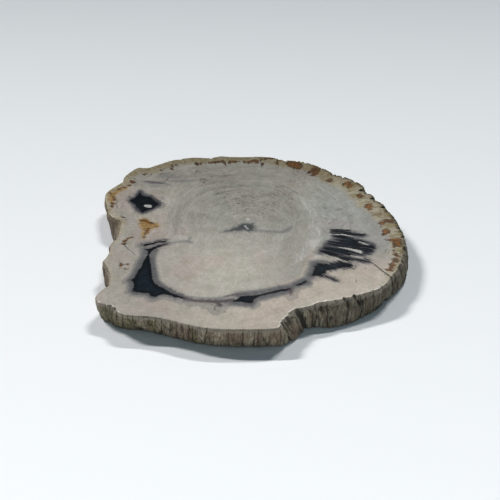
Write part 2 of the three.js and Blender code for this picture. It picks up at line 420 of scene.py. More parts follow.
def spaced(line, step):
    """Points a step apart along an open line of rows; every column is carried along."""
    line = np.asarray(line, float)
    run = run_along(line)
    stops = np.linspace(0, run[-1], max(2, round(run[-1] / step) + 1))
    return np.stack([np.interp(stops, run, column) for column in line.T], 1)


def stroke_distance(places, stroke):
    """How far each place is outside a stroke of changing width, less than zero inside it."""
    rows = np.array([(*row, 0.0)[:3] for row in stroke])
    low, high = rows[:, :2].min(0) - REACH, rows[:, :2].max(0) + REACH
    close = np.all((places > low) & (places < high), 1)
    points, nearest = places[close], np.full(np.count_nonzero(close), REACH)
    for start, end in zip(rows, rows[1:]):
        run = end[:2] - start[:2]
        share = np.clip(((points - start[:2]) @ run) / max(run @ run, 1e-9), 0, 1)
        gap = np.hypot(*(points - start[:2] - share[:, None] * run).T)
        nearest = np.minimum(nearest, gap - start[2] - share * (end[2] - start[2]))
    distance = np.full(len(places), REACH)
    distance[close] = nearest
    return distance


def inside(places, outline):
    """True for each place that a closed outline goes round."""
    close = np.all((places > outline.min(0)) & (places < outline.max(0)), 1)
    x, y = places[close].T
    crossed = np.zeros(len(x), bool)
    for (x0, y0), (x1, y1) in zip(outline, np.roll(outline, -1, 0)):
        if y0 != y1:
            crossed ^= ((y0 > y) != (y1 > y)) & (x < (x1 - x0) * (y - y0) / (y1 - y0) + x0)
    within = np.zeros(len(places), bool)
    within[close] = crossed
    return within


def outline_distance(places, outline):
    """How far each place is outside a closed outline, less than zero inside it."""
    gap = stroke_distance(places, np.vstack([outline, outline[:1]]))
    return np.where(inside(places, outline), -gap, gap)


def nearest_point(places, loop):
    """The nearest of a loop's points to each place, and how far it is."""
    tree = KDTree(len(loop))
    for index, (x, y) in enumerate(loop):
        tree.insert((x, y, 0), index)
    tree.balance()
    found = [tree.find((x, y, 0))[1:] for x, y in places]
    index, gap = np.array(found).T
    return index.astype(int), gap


def edge_depth(places, edge):
    """How far each place is inside the slab's closely stepped edge, less than zero outside it."""
    index, gap = nearest_point(places, edge)
    side = np.sum((places - edge[index]) * outward(edge, 1)[index], 1)
    return np.where(side < 0, gap, -gap)


def figure_distance(places, patches=(), strokes=()):
    """How far each place is outside the nearest of some patches and strokes."""
    gaps = [outline_distance(places, closed_curve(patch, 3)) for patch in patches]
    gaps += [stroke_distance(places, stroke) for stroke in strokes]
    return np.min(gaps, 0)


def smooth_step(value, low, high):
    share = np.clip((value - low) / (high - low), 0, 1)
    return share * share * (3 - 2 * share)


def hex_grid(step, random):
    """Points over the slab's box in rows, each shifted a little so that no four lie on a circle."""
    (x0, y0), (x1, y1) = np.array(LOW.xy) / MM, np.array(HIGH.xy) / MM
    rows = []
    for row, y in enumerate(np.arange(y0, y1, step * math.sqrt(0.75))):
        xs = np.arange(x0, x1, step) + (row % 2) * step / 2
        rows.append(np.stack([xs, np.full(len(xs), y)], 1))
    points = np.vstack(rows)
    return points + random.uniform(-0.12, 0.12, points.shape) * step


# ---------------------------------------------------------------------------------------------------
# The slab's mesh
# ---------------------------------------------------------------------------------------------------

def level_loop(solid, height):
    """The solid's closed edge at one height, as anticlockwise points."""
    level = {vert.index: vert.co.xy / MM for vert in solid.verts if abs(vert.co.z - height) < SAME_PLACE}
    after = {}
    for face in solid.faces:
        if all(vert.index in level for vert in face.verts):
            continue
        for corner in face.loops:
            here, beyond = corner.vert.index, corner.link_loop_next.vert.index
            if here in level and beyond in level:
                after[here] = beyond
    order = [min(after)]
    while after[order[-1]] != order[0]:
        order.append(after[order[-1]])
    loop = np.array([level[index][:] for index in order])
    x, y = loop.T
    clockwise = np.sum(x * np.roll(y, -1) - y * np.roll(x, -1)) < 0
    return loop[::-1] if clockwise else loop


def rim_loops():
    """The edge of the polished face and the edge of the underside, anticlockwise and in step."""
    solid = bmesh.new()
    solid.from_mesh(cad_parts[NODE].data)
    bmesh.ops.remove_doubles(solid, verts=solid.verts, dist=SAME_PLACE)
    solid.verts.index_update()
    top, foot = (level_loop(solid, height) for height in (HIGH.z, LOW.z))
    solid.free()
    if len(top) != len(foot):
        raise RuntimeError("the slab's two edges don't have the same number of points")
    turns = [np.hypot(*(top - np.roll(foot, turn, 0)).T).sum() for turn in range(len(foot))]
    return top, np.roll(foot, int(np.argmin(turns)), 0)


def rim_columns(count):
    """Evenly spaced upright lines round the rim: rows of top x, top y, foot x, foot y."""
    paired = closed_curve(np.hstack(rim_loops()), 8)
    paired = np.vstack([paired, paired[:1]])
    run = run_along(paired)
    stops = np.linspace(0, run[-1], count, endpoint=False)
    return np.stack([np.interp(stops, run, column) for column in paired.T], 1), stops, run[-1]


def outward(loop, reach):
    """Level unit vectors that point out of a loop."""
    run = np.roll(loop, -reach, 0) - np.roll(loop, reach, 0)
    out = np.stack([run[:, 1], -run[:, 0]], 1)
    return out / np.hypot(*out.T)[:, None]


def rim_heights(settings):
    """Heights of the rim's rows, closer together at the worn lower edge and at the polished edge."""
    foot = [0.0, 0.35, 0.9, 1.6, 2.4]
    top = [THICKNESS - gap for gap in (3.6, 2.9, 2.2, 1.6, 1.05, 0.6, 0.25, 0.0)]
    between = np.linspace(foot[-1], top[0], settings.rim_rows)[1:-1]
    return np.array([*foot, *between, *top])


def rim_profile(heights):
    """How far the plain rim stands out from a straight line between its edges, at each height."""
    share = heights / THICKNESS
    bulge = 1.3 * np.sin(np.pi * share ** 1.3)
    foot = 1.6 * (1 - (1 - np.clip(heights / 2.4, 0, 1)) ** 2)
    arris = -1.5 * (1 - np.clip((THICKNESS - heights) / 3.4, 0, 1)) ** 2
    return bulge + foot + arris


def edge_chips(columns, random):
    """Small chips broken from the polished edge, at random places round its back right."""
    crumbly = columns[(columns[:, 0] > 30) & (columns[:, 1] > -70), :2]
    places = crumbly[random.integers(0, len(crumbly), EDGE_CHIPS)]
    reach = random.uniform(0.6, 1.7, EDGE_CHIPS)
    rise = random.uniform(4, 12, EDGE_CHIPS)
    depth = random.uniform(0.8, 2.6, EDGE_CHIPS)
    return [(x, y, 27, *sizes) for (x, y), *sizes in zip(places, reach, rise, depth)]


def rim_carving(columns, stops, around, heights, random):
    """Depth of the grooves and dents, for each height and column."""
    carved = np.zeros((len(heights), len(columns)))
    level = heights[:, None]

    def offset_along(x, y, lean=0.0):
        start = stops[np.argmin(np.hypot(columns[:, 0] - x, columns[:, 1] - y))]
        shift = stops[None, :] - start + lean * (THICKNESS - level) / THICKNESS * 2
        return (shift + around / 2) % around - around / 2

    for x, y, low, high, half, depth, lean in RIM_GROOVES:
        wave = 0.35 * np.sin(level * 0.55 + x)
        cut = np.clip(1 - np.abs(offset_along(x, y, lean) + wave) / (half * 1.5), 0, 1)
        ends = smooth_step(level, low, low + 6) * (1 - smooth_step(level, high - 4, high))
        fade = 1 - 0.55 * smooth_step(level, THICKNESS - 4, THICKNESS)
        carved = np.maximum(carved, depth * cut * ends * fade)
    for x, y, middle, reach, rise, depth in [*RIM_DENTS, *edge_chips(columns, random)]:
        gap = np.hypot(offset_along(x, y) / reach, (level - middle) / rise)
        carved = np.maximum(carved, depth * (1 - smooth_step(gap, 0.25, 1.15)))
    return carved


class Rim:
    """The slab's rim in rows and columns: how far each place stands out and how deep it is carved."""

    def __init__(self, settings):
        columns, stops, around = rim_columns(settings.rim_columns)
        random = np.random.default_rng(settings.seed + 1)
        self.count = len(columns)
        self.top, self.foot = columns[:, :2], columns[:, 2:]
        self.out = outward((self.top + self.foot) / 2, 6)
        self.heights = rim_heights(settings)
        self.carved = rim_carving(columns, stops, around, self.heights, random)
        self.stand = rim_profile(self.heights)[:, None] - self.carved

    def places(self):
        """The rim's points, row by row from the foot."""
        share = (self.heights / THICKNESS)[:, None, None]
        level = self.foot + (self.top - self.foot) * share + self.out * self.stand[:, :, None]
        return np.dstack([level, np.broadcast_to(self.heights[:, None], level.shape[:2])]).reshape(-1, 3)

    def quads(self):
        """The rim's faces, row by row from the foot."""
        pairs = [(column, (column + 1) % self.count) for column in range(self.count)]
        starts = [row * self.count for row in range(len(self.heights) - 1)]
        return [
            (start + here, start + beyond, start + self.count + beyond, start + self.count + here)
            for start in starts for here, beyond in pairs
        ]


class FlatFace:
    """A flat face's points, moved with the rim beside them; the move fades to nothing further in."""

    def __init__(self, points, edge, rim, row):
        self.nearest, self.gap = nearest_point(points, edge)
        self.follow = np.clip(1 - self.gap / FOLLOW_REACH, 0, 1) ** 1.5
        move = rim.stand[row][self.nearest] * self.follow
        self.places = points + rim.out[self.nearest] * move[:, None]


def figure_strokes():
    """Every thin or sharp edge of the figure, near which the face's mesh is fine."""
    strokes = [*INK_STROKES, *WASH_STROKES, *MAUVE_STROKES, *PALE_STROKES, *RUST_STROKES]
    return [*strokes, *OCHRE_CORES, *CRACKS, *HAIRLINES]


def face_points(edge, settings, random):
    """Places for the polished face's vertices, closer together near the edges of the stains."""
    def clear_of_edge(points):
        return points[edge_depth(points, edge) > EDGE_CLEARANCE]

    coarse = clear_of_edge(hex_grid(settings.face_step / MM, random))
    fine = clear_of_edge(hex_grid(settings.stain_step / MM, random))
    patches = [*INK_PATCHES.values(), *RUST_PATCHES, *SOOT_PATCHES]

    def near_figure(points):
        rim_of_patches = [np.abs(outline_distance(points, closed_curve(patch, 3))) for patch in patches]
        strokes = [stroke_distance(points, stroke) for stroke in figure_strokes()]
        return np.min([*rim_of_patches, *strokes], 0) < FINE_REACH

    return np.vstack([coarse[~near_figure(coarse)], fine[near_figure(fine)]])


def crack_lines(edge):
    """For each crack its centre line and the lines on both sides, with how deep the centre is."""
    centres, sides = [], []
    for crack in CRACKS:
        line = spaced(crack, 1.0)
        run = np.gradient(line[:, :2], axis=0)
        across = np.stack([run[:, 1], -run[:, 0]], 1) / np.hypot(*run.T)[:, None]
        wander = CRACK_WANDER * np.sin(np.arange(len(line)) * 1.9)[:, None] * across
        middle = line[:, :2] + wander
        reach = (line[:, 2:] + CRACK_LIP) * across
        keep = edge_depth(middle, edge) > CRACK_END
        centres.append(np.hstack([middle, line[:, 2:]])[keep])
        sides += [(middle + reach)[keep], (middle - reach)[keep]]
    return centres, np.vstack(sides)


def triangulated(edge, points, lines=()):
    """Triangles over an outline and the points in it. The outline's own points come first."""
    places = [tuple(place) for place in np.vstack([edge, points])]
    links = [(index, (index + 1) % len(edge)) for index in range(len(edge))]
    links += list(lines)
    verts, _, faces, origins, _, _ = delaunay_2d_cdt([Vector(p) for p in places], links, [], 1, 1e-6)
    if len(verts) != len(places):
        raise RuntimeError("points of the slab's face fall on each other")
    first = [origin[0] for origin in origins]
    return [[first[corner] for corner in face] for face in faces]


def polished_face(edge, settings, random):
    """The polished face's points, how far each is sunk in a crack, and its triangles."""
    centres, sides = crack_lines(edge)
    grid = face_points(edge, settings, random)
    sunk = np.vstack(centres)
    on_cracks = np.vstack([sunk[:, :2], sides])
    crowded = np.min([np.hypot(*(grid - place).T) for place in on_cracks], 0) < CRACK_CLEARANCE
    points = np.vstack([on_cracks, grid[~crowded]])
    drop = np.zeros(len(points))
    drop[:len(sunk)] = sunk[:, 2] * CRACK_STEEPNESS
    lines, start = [], len(edge)
    for centre in centres:
        lines += [(index, index + 1) for index in range(start, start + len(centre) - 1)]
        start += len(centre)
    return points, drop, triangulated(edge, points, lines)


def numbered(triangles, count, edge_start, inner_start):
    """A face's triangles with the whole mesh's numbers; their first count points are the edge's."""
    return [[c + edge_start if c < count else c - count + inner_start for c in t] for t in triangles]


def slab_mesh(settings):
    """The slab as one closed mesh, with its rim carved and its figure as attributes."""
    random = np.random.default_rng(settings.seed)
    rim = Rim(settings)
    face, drop, face_triangles = polished_face(rim.top, settings, random)
    under = hex_grid(settings.underside_step / MM, random)
    under = under[edge_depth(under, rim.foot) > UNDER_CLEARANCE]
    under_triangles = [triangle[::-1] for triangle in triangulated(rim.foot, under)]
    upper = FlatFace(face, rim.top, rim, -1)
    lower = FlatFace(under, rim.foot, rim, 0)

    # Vertices: the rim's, then the polished face's, then the underside's
    places = np.vstack([
        rim.places(),
        np.column_stack([upper.places, THICKNESS - drop]),
        np.column_stack([lower.places, np.zeros(len(under))]),
    ])
    rows, count = len(rim.heights), rim.count
    face_start = rows * count
    quads = rim.quads()
    tops = numbered(face_triangles, count, face_start - count, face_start)
    bottoms = numbered(under_triangles, count, 0, face_start + len(face))
    mesh = bpy.data.meshes.new("slab")
    mesh.from_pydata(places * MM, [], quads + tops + bottoms)
    kinds = np.repeat([RIM, FACE, UNDERSIDE], [len(quads), len(tops), len(bottoms)])
    mesh.polygons.foreach_set("material_index", kinds.astype(np.int32))

    store_relief(mesh, rim, upper, lower)
    moss = [1 - np.hypot(places[:, 0] - x, places[:, 1] - y) / reach for x, y, reach in MOSS]
    store(mesh, "moss", np.max(moss, 0))
    store_figure(mesh, places[:, :2], rim.top, np.arange(len(places)) < face_start)
    store_layout(mesh, rows, count, kinds, places)
    return mesh


def store(mesh, name, values, kind="FLOAT", key="value"):
    attribute = mesh.attributes.new(name, kind, "POINT")
    attribute.data.foreach_set(key, np.ascontiguousarray(values, np.float32).ravel())


def store_relief(mesh, rim, upper, lower):
    """Which way and how freely the bark's fine relief moves each vertex, and how deep it is carved, which the
    shaders darken as painted shade.
    """
    bevel = 1 - 0.8 * smooth_step(rim.heights, THICKNESS - 5.5, THICKNESS - 0.8)
    foot = 0.35 + 0.65 * smooth_step(rim.heights, 0, 3)
    shares = [np.repeat(bevel * foot, rim.count), bevel[-1] * upper.follow, foot[0] * lower.follow]
    turns = [np.tile(rim.out, (len(rim.heights), 1)), rim.out[upper.nearest], rim.out[lower.nearest]]
    turns = np.vstack(turns)
    store(mesh, "bark_out", np.column_stack([turns, np.zeros(len(turns))]), "FLOAT_VECTOR", "vector")
    store(mesh, "bark_share", np.concatenate(shares))
    # How deep each place is carved; the shaders paint shade by it in the dents and grooves
    beside = rim.carved[-1][upper.nearest] * np.clip(1 - upper.gap / 4, 0, 1)
    store(mesh, "carved", np.concatenate([rim.carved.ravel(), beside, np.zeros(len(lower.gap))]))


def growth_at(places, edge):
    """Growth from the pith: how far out a place is, from nought there to the edge of the slab."""
    def reach(curve, turn):
        arm = curve - PITH
        angle = np.arctan2(arm[:, 1], arm[:, 0])
        order = np.argsort(angle)
        return np.interp(turn, angle[order], np.hypot(*arm.T)[order], period=2 * np.pi)

    arm = places - PITH
    turn, radius = np.arctan2(arm[:, 1], arm[:, 0]), np.hypot(*arm.T)
    heart = reach(closed_curve(HEART_RING, 12), turn)
    spread = np.array([reach(edge, turn + shift) for shift in np.linspace(-0.12, 0.12, 5)]).mean(0)
    share = (radius - heart) / np.maximum(spread - heart, 8)
    beyond = HEART_GROWTH + (EDGE_GROWTH - HEART_GROWTH) * share
    return np.where(radius < heart, HEART_GROWTH * radius / heart, beyond)


def sapwood_width(places):
    """How wide the sapwood band is, by the way it faces: widest at the back and right, none in front."""
    turn = np.degrees(np.arctan2(places[:, 1] - PITH[1], places[:, 0] - PITH[0]))
    return np.interp(turn, *zip(*SAPWOOD_WIDTHS))


def store_figure(mesh, places, edge, on_rim):
    """The slab's figure at each vertex: its growth, and how far it is outside each kind of stain."""
    store(mesh, "growth", growth_at(places, edge))
    depth = np.where(on_rim, 0, edge_depth(places, edge))
    store(mesh, "edge", depth)
    store(mesh, "sapwood", depth - sapwood_width(places))
    for name, patches, strokes in (
        ("ink", INK_PATCHES.values(), INK_STROKES),
        ("wash", WASH_PATCHES, WASH_STROKES),
        ("mauve", (), MAUVE_STROKES),
        ("soot", SOOT_PATCHES, ()),
        ("pale", (), PALE_STROKES),
        ("arcs", (), PALE_ARCS),
        ("shade", (), SHADE_STROKES),
        ("rust", RUST_PATCHES, [*RUST_STROKES, *OCHRE_CORES]),
        ("ochre", OCHRE_PATCHES, ()),
        ("cracks", (), [*CRACKS, *HAIRLINES]),
    ):
        store(mesh, name, figure_distance(places, patches, strokes))


def store_layout(mesh, rows, count, kinds, places):
    """A flat layout of the whole surface: the two faces seen square on, and the rim in upright strips.

    The layout is one unit wide, for 500 mm of the slab; the underside is drawn smaller."""
    scale, pad, half = 1 / 500, 0.004, 0.48
    strips, strip_width, strip_space, rim_length = 3, 34.0, 42.0, 1140.0
    size = np.array(mesh_size())
    corners = np.zeros(len(mesh.loops), np.int64)
    mesh.loops.foreach_get("vertex_index", corners)
    starts = np.zeros(len(mesh.polygons), np.int64)
    mesh.polygons.foreach_get("loop_start", starts)
    kind_of = np.repeat(kinds, np.diff(np.append(starts, len(corners))))
    low = np.array(LOW.xy) / MM
    flat = (places[corners, :2] - low) * scale
    layout = np.where((kind_of == FACE)[:, None], flat + pad, 0.0)
    mirrored = flat * half * (-1, 1) + (size[0] * scale * half + pad, size[1] * scale + 2 * pad)
    layout = np.where((kind_of == UNDERSIDE)[:, None], mirrored, layout)

    quads = (rows - 1) * count
    column = np.arange(quads) % count
    row = np.arange(quads) // count
    long = math.ceil(count / strips)
    strip = column // long
    up = np.stack([row, row, row + 1, row + 1], 1) * (strip_width * scale / (rows - 1))
    along = np.stack([column, column + 1, column + 1, column], 1) - strip[:, None] * long
    left = (size[0] * scale + 3 * pad + strip * strip_space * scale)[:, None]
    layout[:4 * quads, 0] = (up + left).ravel()
    layout[:4 * quads, 1] = along.ravel() * (scale * rim_length / count) + pad
    uv = mesh.uv_layers.new(name="OFBake")
    uv.data.foreach_set("uv", layout.astype(np.float32).ravel())


def mesh_size():
    return [(high - low) / MM for low, high in zip(LOW, HIGH)]


# ---------------------------------------------------------------------------------------------------
# Node trees
# ---------------------------------------------------------------------------------------------------

class Value:
    """An output of a node. Sums with it add nodes to the same tree."""

    def __init__(self, sheet, socket):
        self.sheet = sheet
        self.socket = socket

    def __add__(self, other):
        return self.sheet.math("ADD", self, other)

    def __sub__(self, other):
        return self.sheet.math("SUBTRACT", self, other)

    def __rsub__(self, other):
        return self.sheet.math("SUBTRACT", other, self)

    def __mul__(self, other):
        return self.sheet.math("MULTIPLY", self, other)

    def __rtruediv__(self, other):
        return self.sheet.math("DIVIDE", other, self)

    def __abs__(self):
        return self.sheet.math("ABSOLUTE", self)


class Sheet:
    """Short calls for adding nodes to a tree and joining them."""

    def __init__(self, tree):
        self.tree = tree

    def add(self, kind, feeds=(), **settings):
        node = self.tree.nodes.new(kind)
        for name, value in settings.items():
            setattr(node, name, value)
        for socket, value in dict(feeds).items():
            self.feed(node.inputs[socket], value)
        return node

    def value(self, kind, feeds=(), output=0, **settings):
        return Value(self, self.add(kind, feeds, **settings).outputs[output])

    def feed(self, socket, value):
        if isinstance(value, Value):
            self.tree.links.new(value.socket, socket)
        elif value is not None:
            socket.default_value = value

    def group(self, name, feeds):
        """The named outputs of a node group."""
        node = self.add("ShaderNodeGroup", feeds, node_tree=bpy.data.node_groups[name])
        return {output.name: Value(self, output) for output in node.outputs}

    def math(self, operation, *terms):
        return self.value("ShaderNodeMath", enumerate(terms), operation=operation)

    def vector_math(self, operation, *terms, output=0):
        return self.value("ShaderNodeVectorMath", enumerate(terms), output, operation=operation)

    def split(self, vector):
        return [Value(self, part) for part in self.add("ShaderNodeSeparateXYZ", {0: vector}).outputs]

    def joined(self, x, y, z):
        return self.value("ShaderNodeCombineXYZ", {0: x, 1: y, 2: z})

    def fade(self, value, low, high, to_low=0.0, to_high=1.0, kind="SMOOTHSTEP"):
        """A smooth change from one value to another, as an input goes from low to high."""
        feeds = enumerate((value, low, high, to_low, to_high))
        return self.value("ShaderNodeMapRange", feeds, interpolation_type=kind)

    def linear(self, *levels):
        return self.fade(*levels, kind="LINEAR")

    def mix(self, share, first, second, blend="MIX"):
        feeds = {0: share, 6: first, 7: second}
        return self.value("ShaderNodeMix", feeds, 2, data_type="RGBA", blend_type=blend)

    def noise(self, vector, size, detail=2.0, roughness=0.5, distortion=0.0):
        """Noise from about 0.3 to 0.7, with lumps of about a given size."""
        feeds = {"Vector": vector, "Scale": 1.0 / size, "Detail": detail, "Roughness": roughness}
        return self.value("ShaderNodeTexNoise", {**feeds, "Distortion": distortion})

    def ripple(self, *noise):
        """The same noise about nought."""
        return self.noise(*noise) - 0.5

    def attribute(self, name):
        return self.value("ShaderNodeAttribute", output="Fac", attribute_name=name)

    def tinted(self, colour, share, strength):
        """A colour made darker or paler where share is under or over a half."""
        gain = self.linear(share, 0.3, 0.7, 1 - strength, 1 + strength)
        grey = self.value("ShaderNodeCombineColor", {0: gain, 1: gain, 2: gain})
        return self.mix(1.0, colour, grey, "MULTIPLY")


def srgb(code):
    """A linear colour from a display colour written as 0xRRGGBB."""
    parts = [((code >> shift) & 255) / 255 for shift in (16, 8, 0)]
    return tuple(p / 12.92 if p <= 0.04045 else ((p + 0.055) / 1.055) ** 2.4 for p in parts)


def new_group(name, inputs, outputs, kind="ShaderNodeTree"):
    """A node group with named inputs, each (name, socket type, default), and named outputs."""
    tree = bpy.data.node_groups.new(name, kind)
    for label, socket, default in inputs:
        made = tree.interface.new_socket(label, in_out="INPUT", socket_type=socket)
        if default is not None:
            made.default_value = default
    for label, socket in outputs:
        tree.interface.new_socket(label, in_out="OUTPUT", socket_type=socket)
    sheet = Sheet(tree)
    given = sheet.add("NodeGroupInput").outputs
    given = {output.name: Value(sheet, output) for output in given if output.name}
    return sheet, given, sheet.add("NodeGroupOutput").inputs


FLOAT, VECTOR, COLOUR = "NodeSocketFloat", "NodeSocketVector", "NodeSocketColor"

# What the figure's colours are worked out from; each is an attribute of the mesh in small letters
FIGURE_VALUES = (
    "Growth", "Edge", "Sapwood", "Ink", "Wash", "Mauve", "Soot", "Pale", "Arcs", "Shade", "Rust", "Ochre",
    "Cracks", "Carved",
)

# Wood grain: (name, stretch round the rings, stretch across them, size, detail, roughness)
GRAINS = (
    ("Lines", 9.0, 1.0, 1.9, 3.0, 0.62),
    ("Bands", 8.0, 1.0, 10.0, 2.0, 0.5),
    ("Rays", 100.0, 0.13, 2.6, 2.0, 0.6),
    ("Flecks", 26.0, 1.0, 2.2, 2.0, 0.6),
)

FRINGE_STEP = 2.6  # millimetres between the thin lines that follow the front of the pools


def build_stain_group():
    """A stain from how far a place is outside it, with an edge that feathers like mineral in stone."""
    inputs = [
        ("Distance", FLOAT, 0.0), ("Position", VECTOR, None), ("Softness", FLOAT, 0.5),
        ("Raggedness", FLOAT, 1.0), ("Lump Size", FLOAT, 3.0), ("Streak", FLOAT, 0.0),
    ]
    sheet, given, made = new_group("stain_edge", inputs, [("Mask", FLOAT)])
    shift = sheet.ripple(given["Position"], given["Lump Size"], 4.0, 0.65) * given["Raggedness"]
    distance = shift * 4.0 + given["Distance"] + given["Streak"]
    sheet.feed(made["Mask"], sheet.fade(distance, given["Softness"], given["Softness"] * -1.0))


def build_grain_group():
    """The wood's own grain: lines and bands along the growth rings, rays across them, and short flecks."""
    inputs = [("Growth", FLOAT, 0.0), ("Position", VECTOR, None)]
    outputs = [(name, FLOAT) for name, *_ in GRAINS]
    sheet, given, made = new_group("wood_grain", inputs, outputs)
    growth = sheet.ripple(given["Position"], 26.0, 4.0, 0.6) * 22.0 + given["Growth"]
    x, y, _ = sheet.split(given["Position"])
    turn = sheet.vector_math("NORMALIZE", sheet.joined(x - PITH[0], y - PITH[1], 0.0))
    level = sheet.joined(0.0, 0.0, growth)
    for name, round_it, across_it, size, detail, roughness in GRAINS:
        turned = sheet.vector_math("MULTIPLY", turn, (round_it, round_it, 0.0))
        risen = sheet.vector_math("MULTIPLY", level, (0.0, 0.0, across_it))
        place = sheet.vector_math("ADD", turned, risen)
        sheet.feed(made[name], sheet.noise(place, size, detail, roughness))


def build_mottle_group():
    """Cloudy variation of a mineral, coarse and fine together."""
    inputs = [("Position", VECTOR, None), ("Size", FLOAT, 12.0)]
    sheet, given, made = new_group("mineral_mottle", inputs, [("Cloud", FLOAT), ("Grain", FLOAT)])
    sheet.feed(made["Cloud"], sheet.noise(given["Position"], given["Size"], 4.0, 0.6, 0.3))
    sheet.feed(made["Grain"], sheet.noise(given["Position"], given["Size"] * 0.1, 3.0, 0.65))


class Figure:
    """What every layer of the figure is painted with: a place, its grain and the stone's colours."""

    def __init__(self, sheet, given, colours):
        self.sheet, self.given, self.colours = sheet, given, colours
        self.place = given["Position"]
        self.x, self.y, _ = sheet.split(self.place)
        self.grain = sheet.group("wood_grain", {"Growth": given["Growth"], "Position": self.place})
        self.rays = self.grain["Rays"] - 0.5
        self.cloud = sheet.group("mineral_mottle", {"Position": self.place, "Size": 15.0})
        self.patch = sheet.group("mineral_mottle", {"Position": self.place, "Size": 44.0})

    def stain(self, colour, kind, tint, softness, ragged, size, strength=1.0, streak=0.0):
        """A colour with a kind of stain laid over it, and the stain's mask."""
        mask = self.sheet.group("stain_edge", {
            "Distance": self.given[kind], "Position": self.place, "Raggedness": ragged,
            "Softness": self.given["Blur"] + softness, "Lump Size": size, "Streak": streak,
        })["Mask"] * strength
        return self.sheet.mix(mask, colour, tint), mask


def plain_wood(figure):
    """The wood without its stains: pale or grey heartwood, the wood outside it, and its grain."""
    sheet, colours, x, y = figure.sheet, figure.colours, figure.x, figure.y
    grain, cloud, patch = figure.grain, figure.cloud, figure.patch
    heart = sheet.mix(sheet.fade(x, -20.0, 70.0), colours.cream, colours.cream_right)
    heart = sheet.mix(sheet.fade(y, -60.0, 50.0), heart, colours.grey)
    heart = sheet.mix(sheet.fade(y, 50.0, 140.0), heart, colours.back)
    heart = sheet.mix(sheet.fade(x, -35.0, -90.0, 0.0, 0.6), heart, colours.left)
    outer = sheet.mix(sheet.fade(x, -150.0, 30.0), colours.left, colours.front)
    right = sheet.fade(x, 20.0, 90.0) * sheet.fade(y, -75.0, -15.0)
    outer = sheet.mix(right, outer, colours.right)
    outer = sheet.mix(sheet.fade(y, 60.0, 130.0), outer, colours.back)
    colour = sheet.mix(sheet.fade(figure.given["Growth"], 96.0, 103.0), heart, outer)
    warm = sheet.fade(patch["Cloud"], 0.46, 0.62, 0.0, 0.4)
    colour = sheet.mix(warm, colour, colours.mauve_tint, "MULTIPLY")
    cool = sheet.fade(cloud["Cloud"], 0.52, 0.36, 0.0, 0.45)
    colour = sheet.mix(cool, colour, colours.green_tint, "MULTIPLY")

    busy = sheet.fade(y, -60.0, 30.0, 0.4, 1.0) * sheet.fade(cloud["Cloud"], 0.38, 0.6, 0.25, 1.3)
    lines = (grain["Lines"] - 0.5) * busy + 0.5
    for share, strength in (
        (lines, 0.17), (grain["Bands"], 0.06), (grain["Rays"], 0.05), (patch["Grain"], 0.07),
        (cloud["Grain"], 0.13),
    ):
        colour = sheet.tinted(colour, share, strength)
    wisps = sheet.fade(grain["Lines"], 0.55, 0.66) * sheet.fade(cloud["Cloud"], 0.55, 0.42)
    colour = sheet.mix(wisps * sheet.fade(y, -60.0, 30.0, 0.1, 0.25), colour, colours.pale)
    cells = sheet.fade(grain["Flecks"], 0.55, 0.66) * sheet.fade(patch["Cloud"], 0.46, 0.58)
    return sheet.mix(cells * sheet.fade(y, 0.0, 50.0, 0.0, 0.7), colour, colours.fleck)


def add_sapwood(figure, colour):
    """The sapwood, with fingers that reach in along the rays and dark crumbs in it; its mask too."""
    sheet, colours, y = figure.sheet, figure.colours, figure.y
    olive = sheet.fade(figure.rays * 1.2 + figure.cloud["Cloud"], 0.44, 0.6)
    sap = sheet.mix(olive, colours.sapwood_pale, colours.sapwood)
    for dark in (
        sheet.fade(figure.cloud["Grain"], 0.53, 0.62, 0.0, 0.6),
        sheet.fade(y, 70.0, 150.0, 0.0, 0.6),
        sheet.fade(figure.given["Sapwood"], -6.0, -22.0, 0.0, 0.3),
    ):
        sap = sheet.mix(dark, sap, colours.sapwood_dark)
    sap = sheet.tinted(sap, figure.patch["Grain"], 0.12)
    return figure.stain(colour, "Sapwood", sap, 4.0, 1.8, 6.0, 0.85, figure.rays * 26.0)


def add_ochre(figure, colour):
    """Golden blotches, veined, with a soft bloom round them."""
    sheet, colours = figure.sheet, figure.colours
    bloom = sheet.mix(0.3, colours.sapwood_pale, colours.ochre)
    colour, _ = figure.stain(colour, "Ochre", bloom, 9.0, 3.0, 9.0, 0.5)
    veins = sheet.fade(sheet.noise(figure.place, 3.0, 4.0, 0.65), 0.44, 0.56)
    golden = sheet.mix(veins, colours.ochre_dark, colours.ochre)
    return figure.stain(colour, "Ochre", golden, 2.6, 3.2, 3.4, 0.85)[0]


def add_arcs(figure, colour):
    """Faint dark arcs, and pale hairlines along the rings."""
    sheet, colours, lines = figure.sheet, figure.colours, figure.grain["Lines"]
    shade = sheet.mix(sheet.fade(lines, 0.44, 0.56), colours.fleck, colours.shade)
    colour, _ = figure.stain(colour, "Shade", shade, 3.4, 2.0, 4.0, 0.36)
    hairs = sheet.mix(sheet.fade(lines, 0.49, 0.57, 0.26, 0.82), colour, colours.pale)
    return figure.stain(colour, "Arcs", hairs, 2.6, 0.8, 6.0, 0.8)[0]


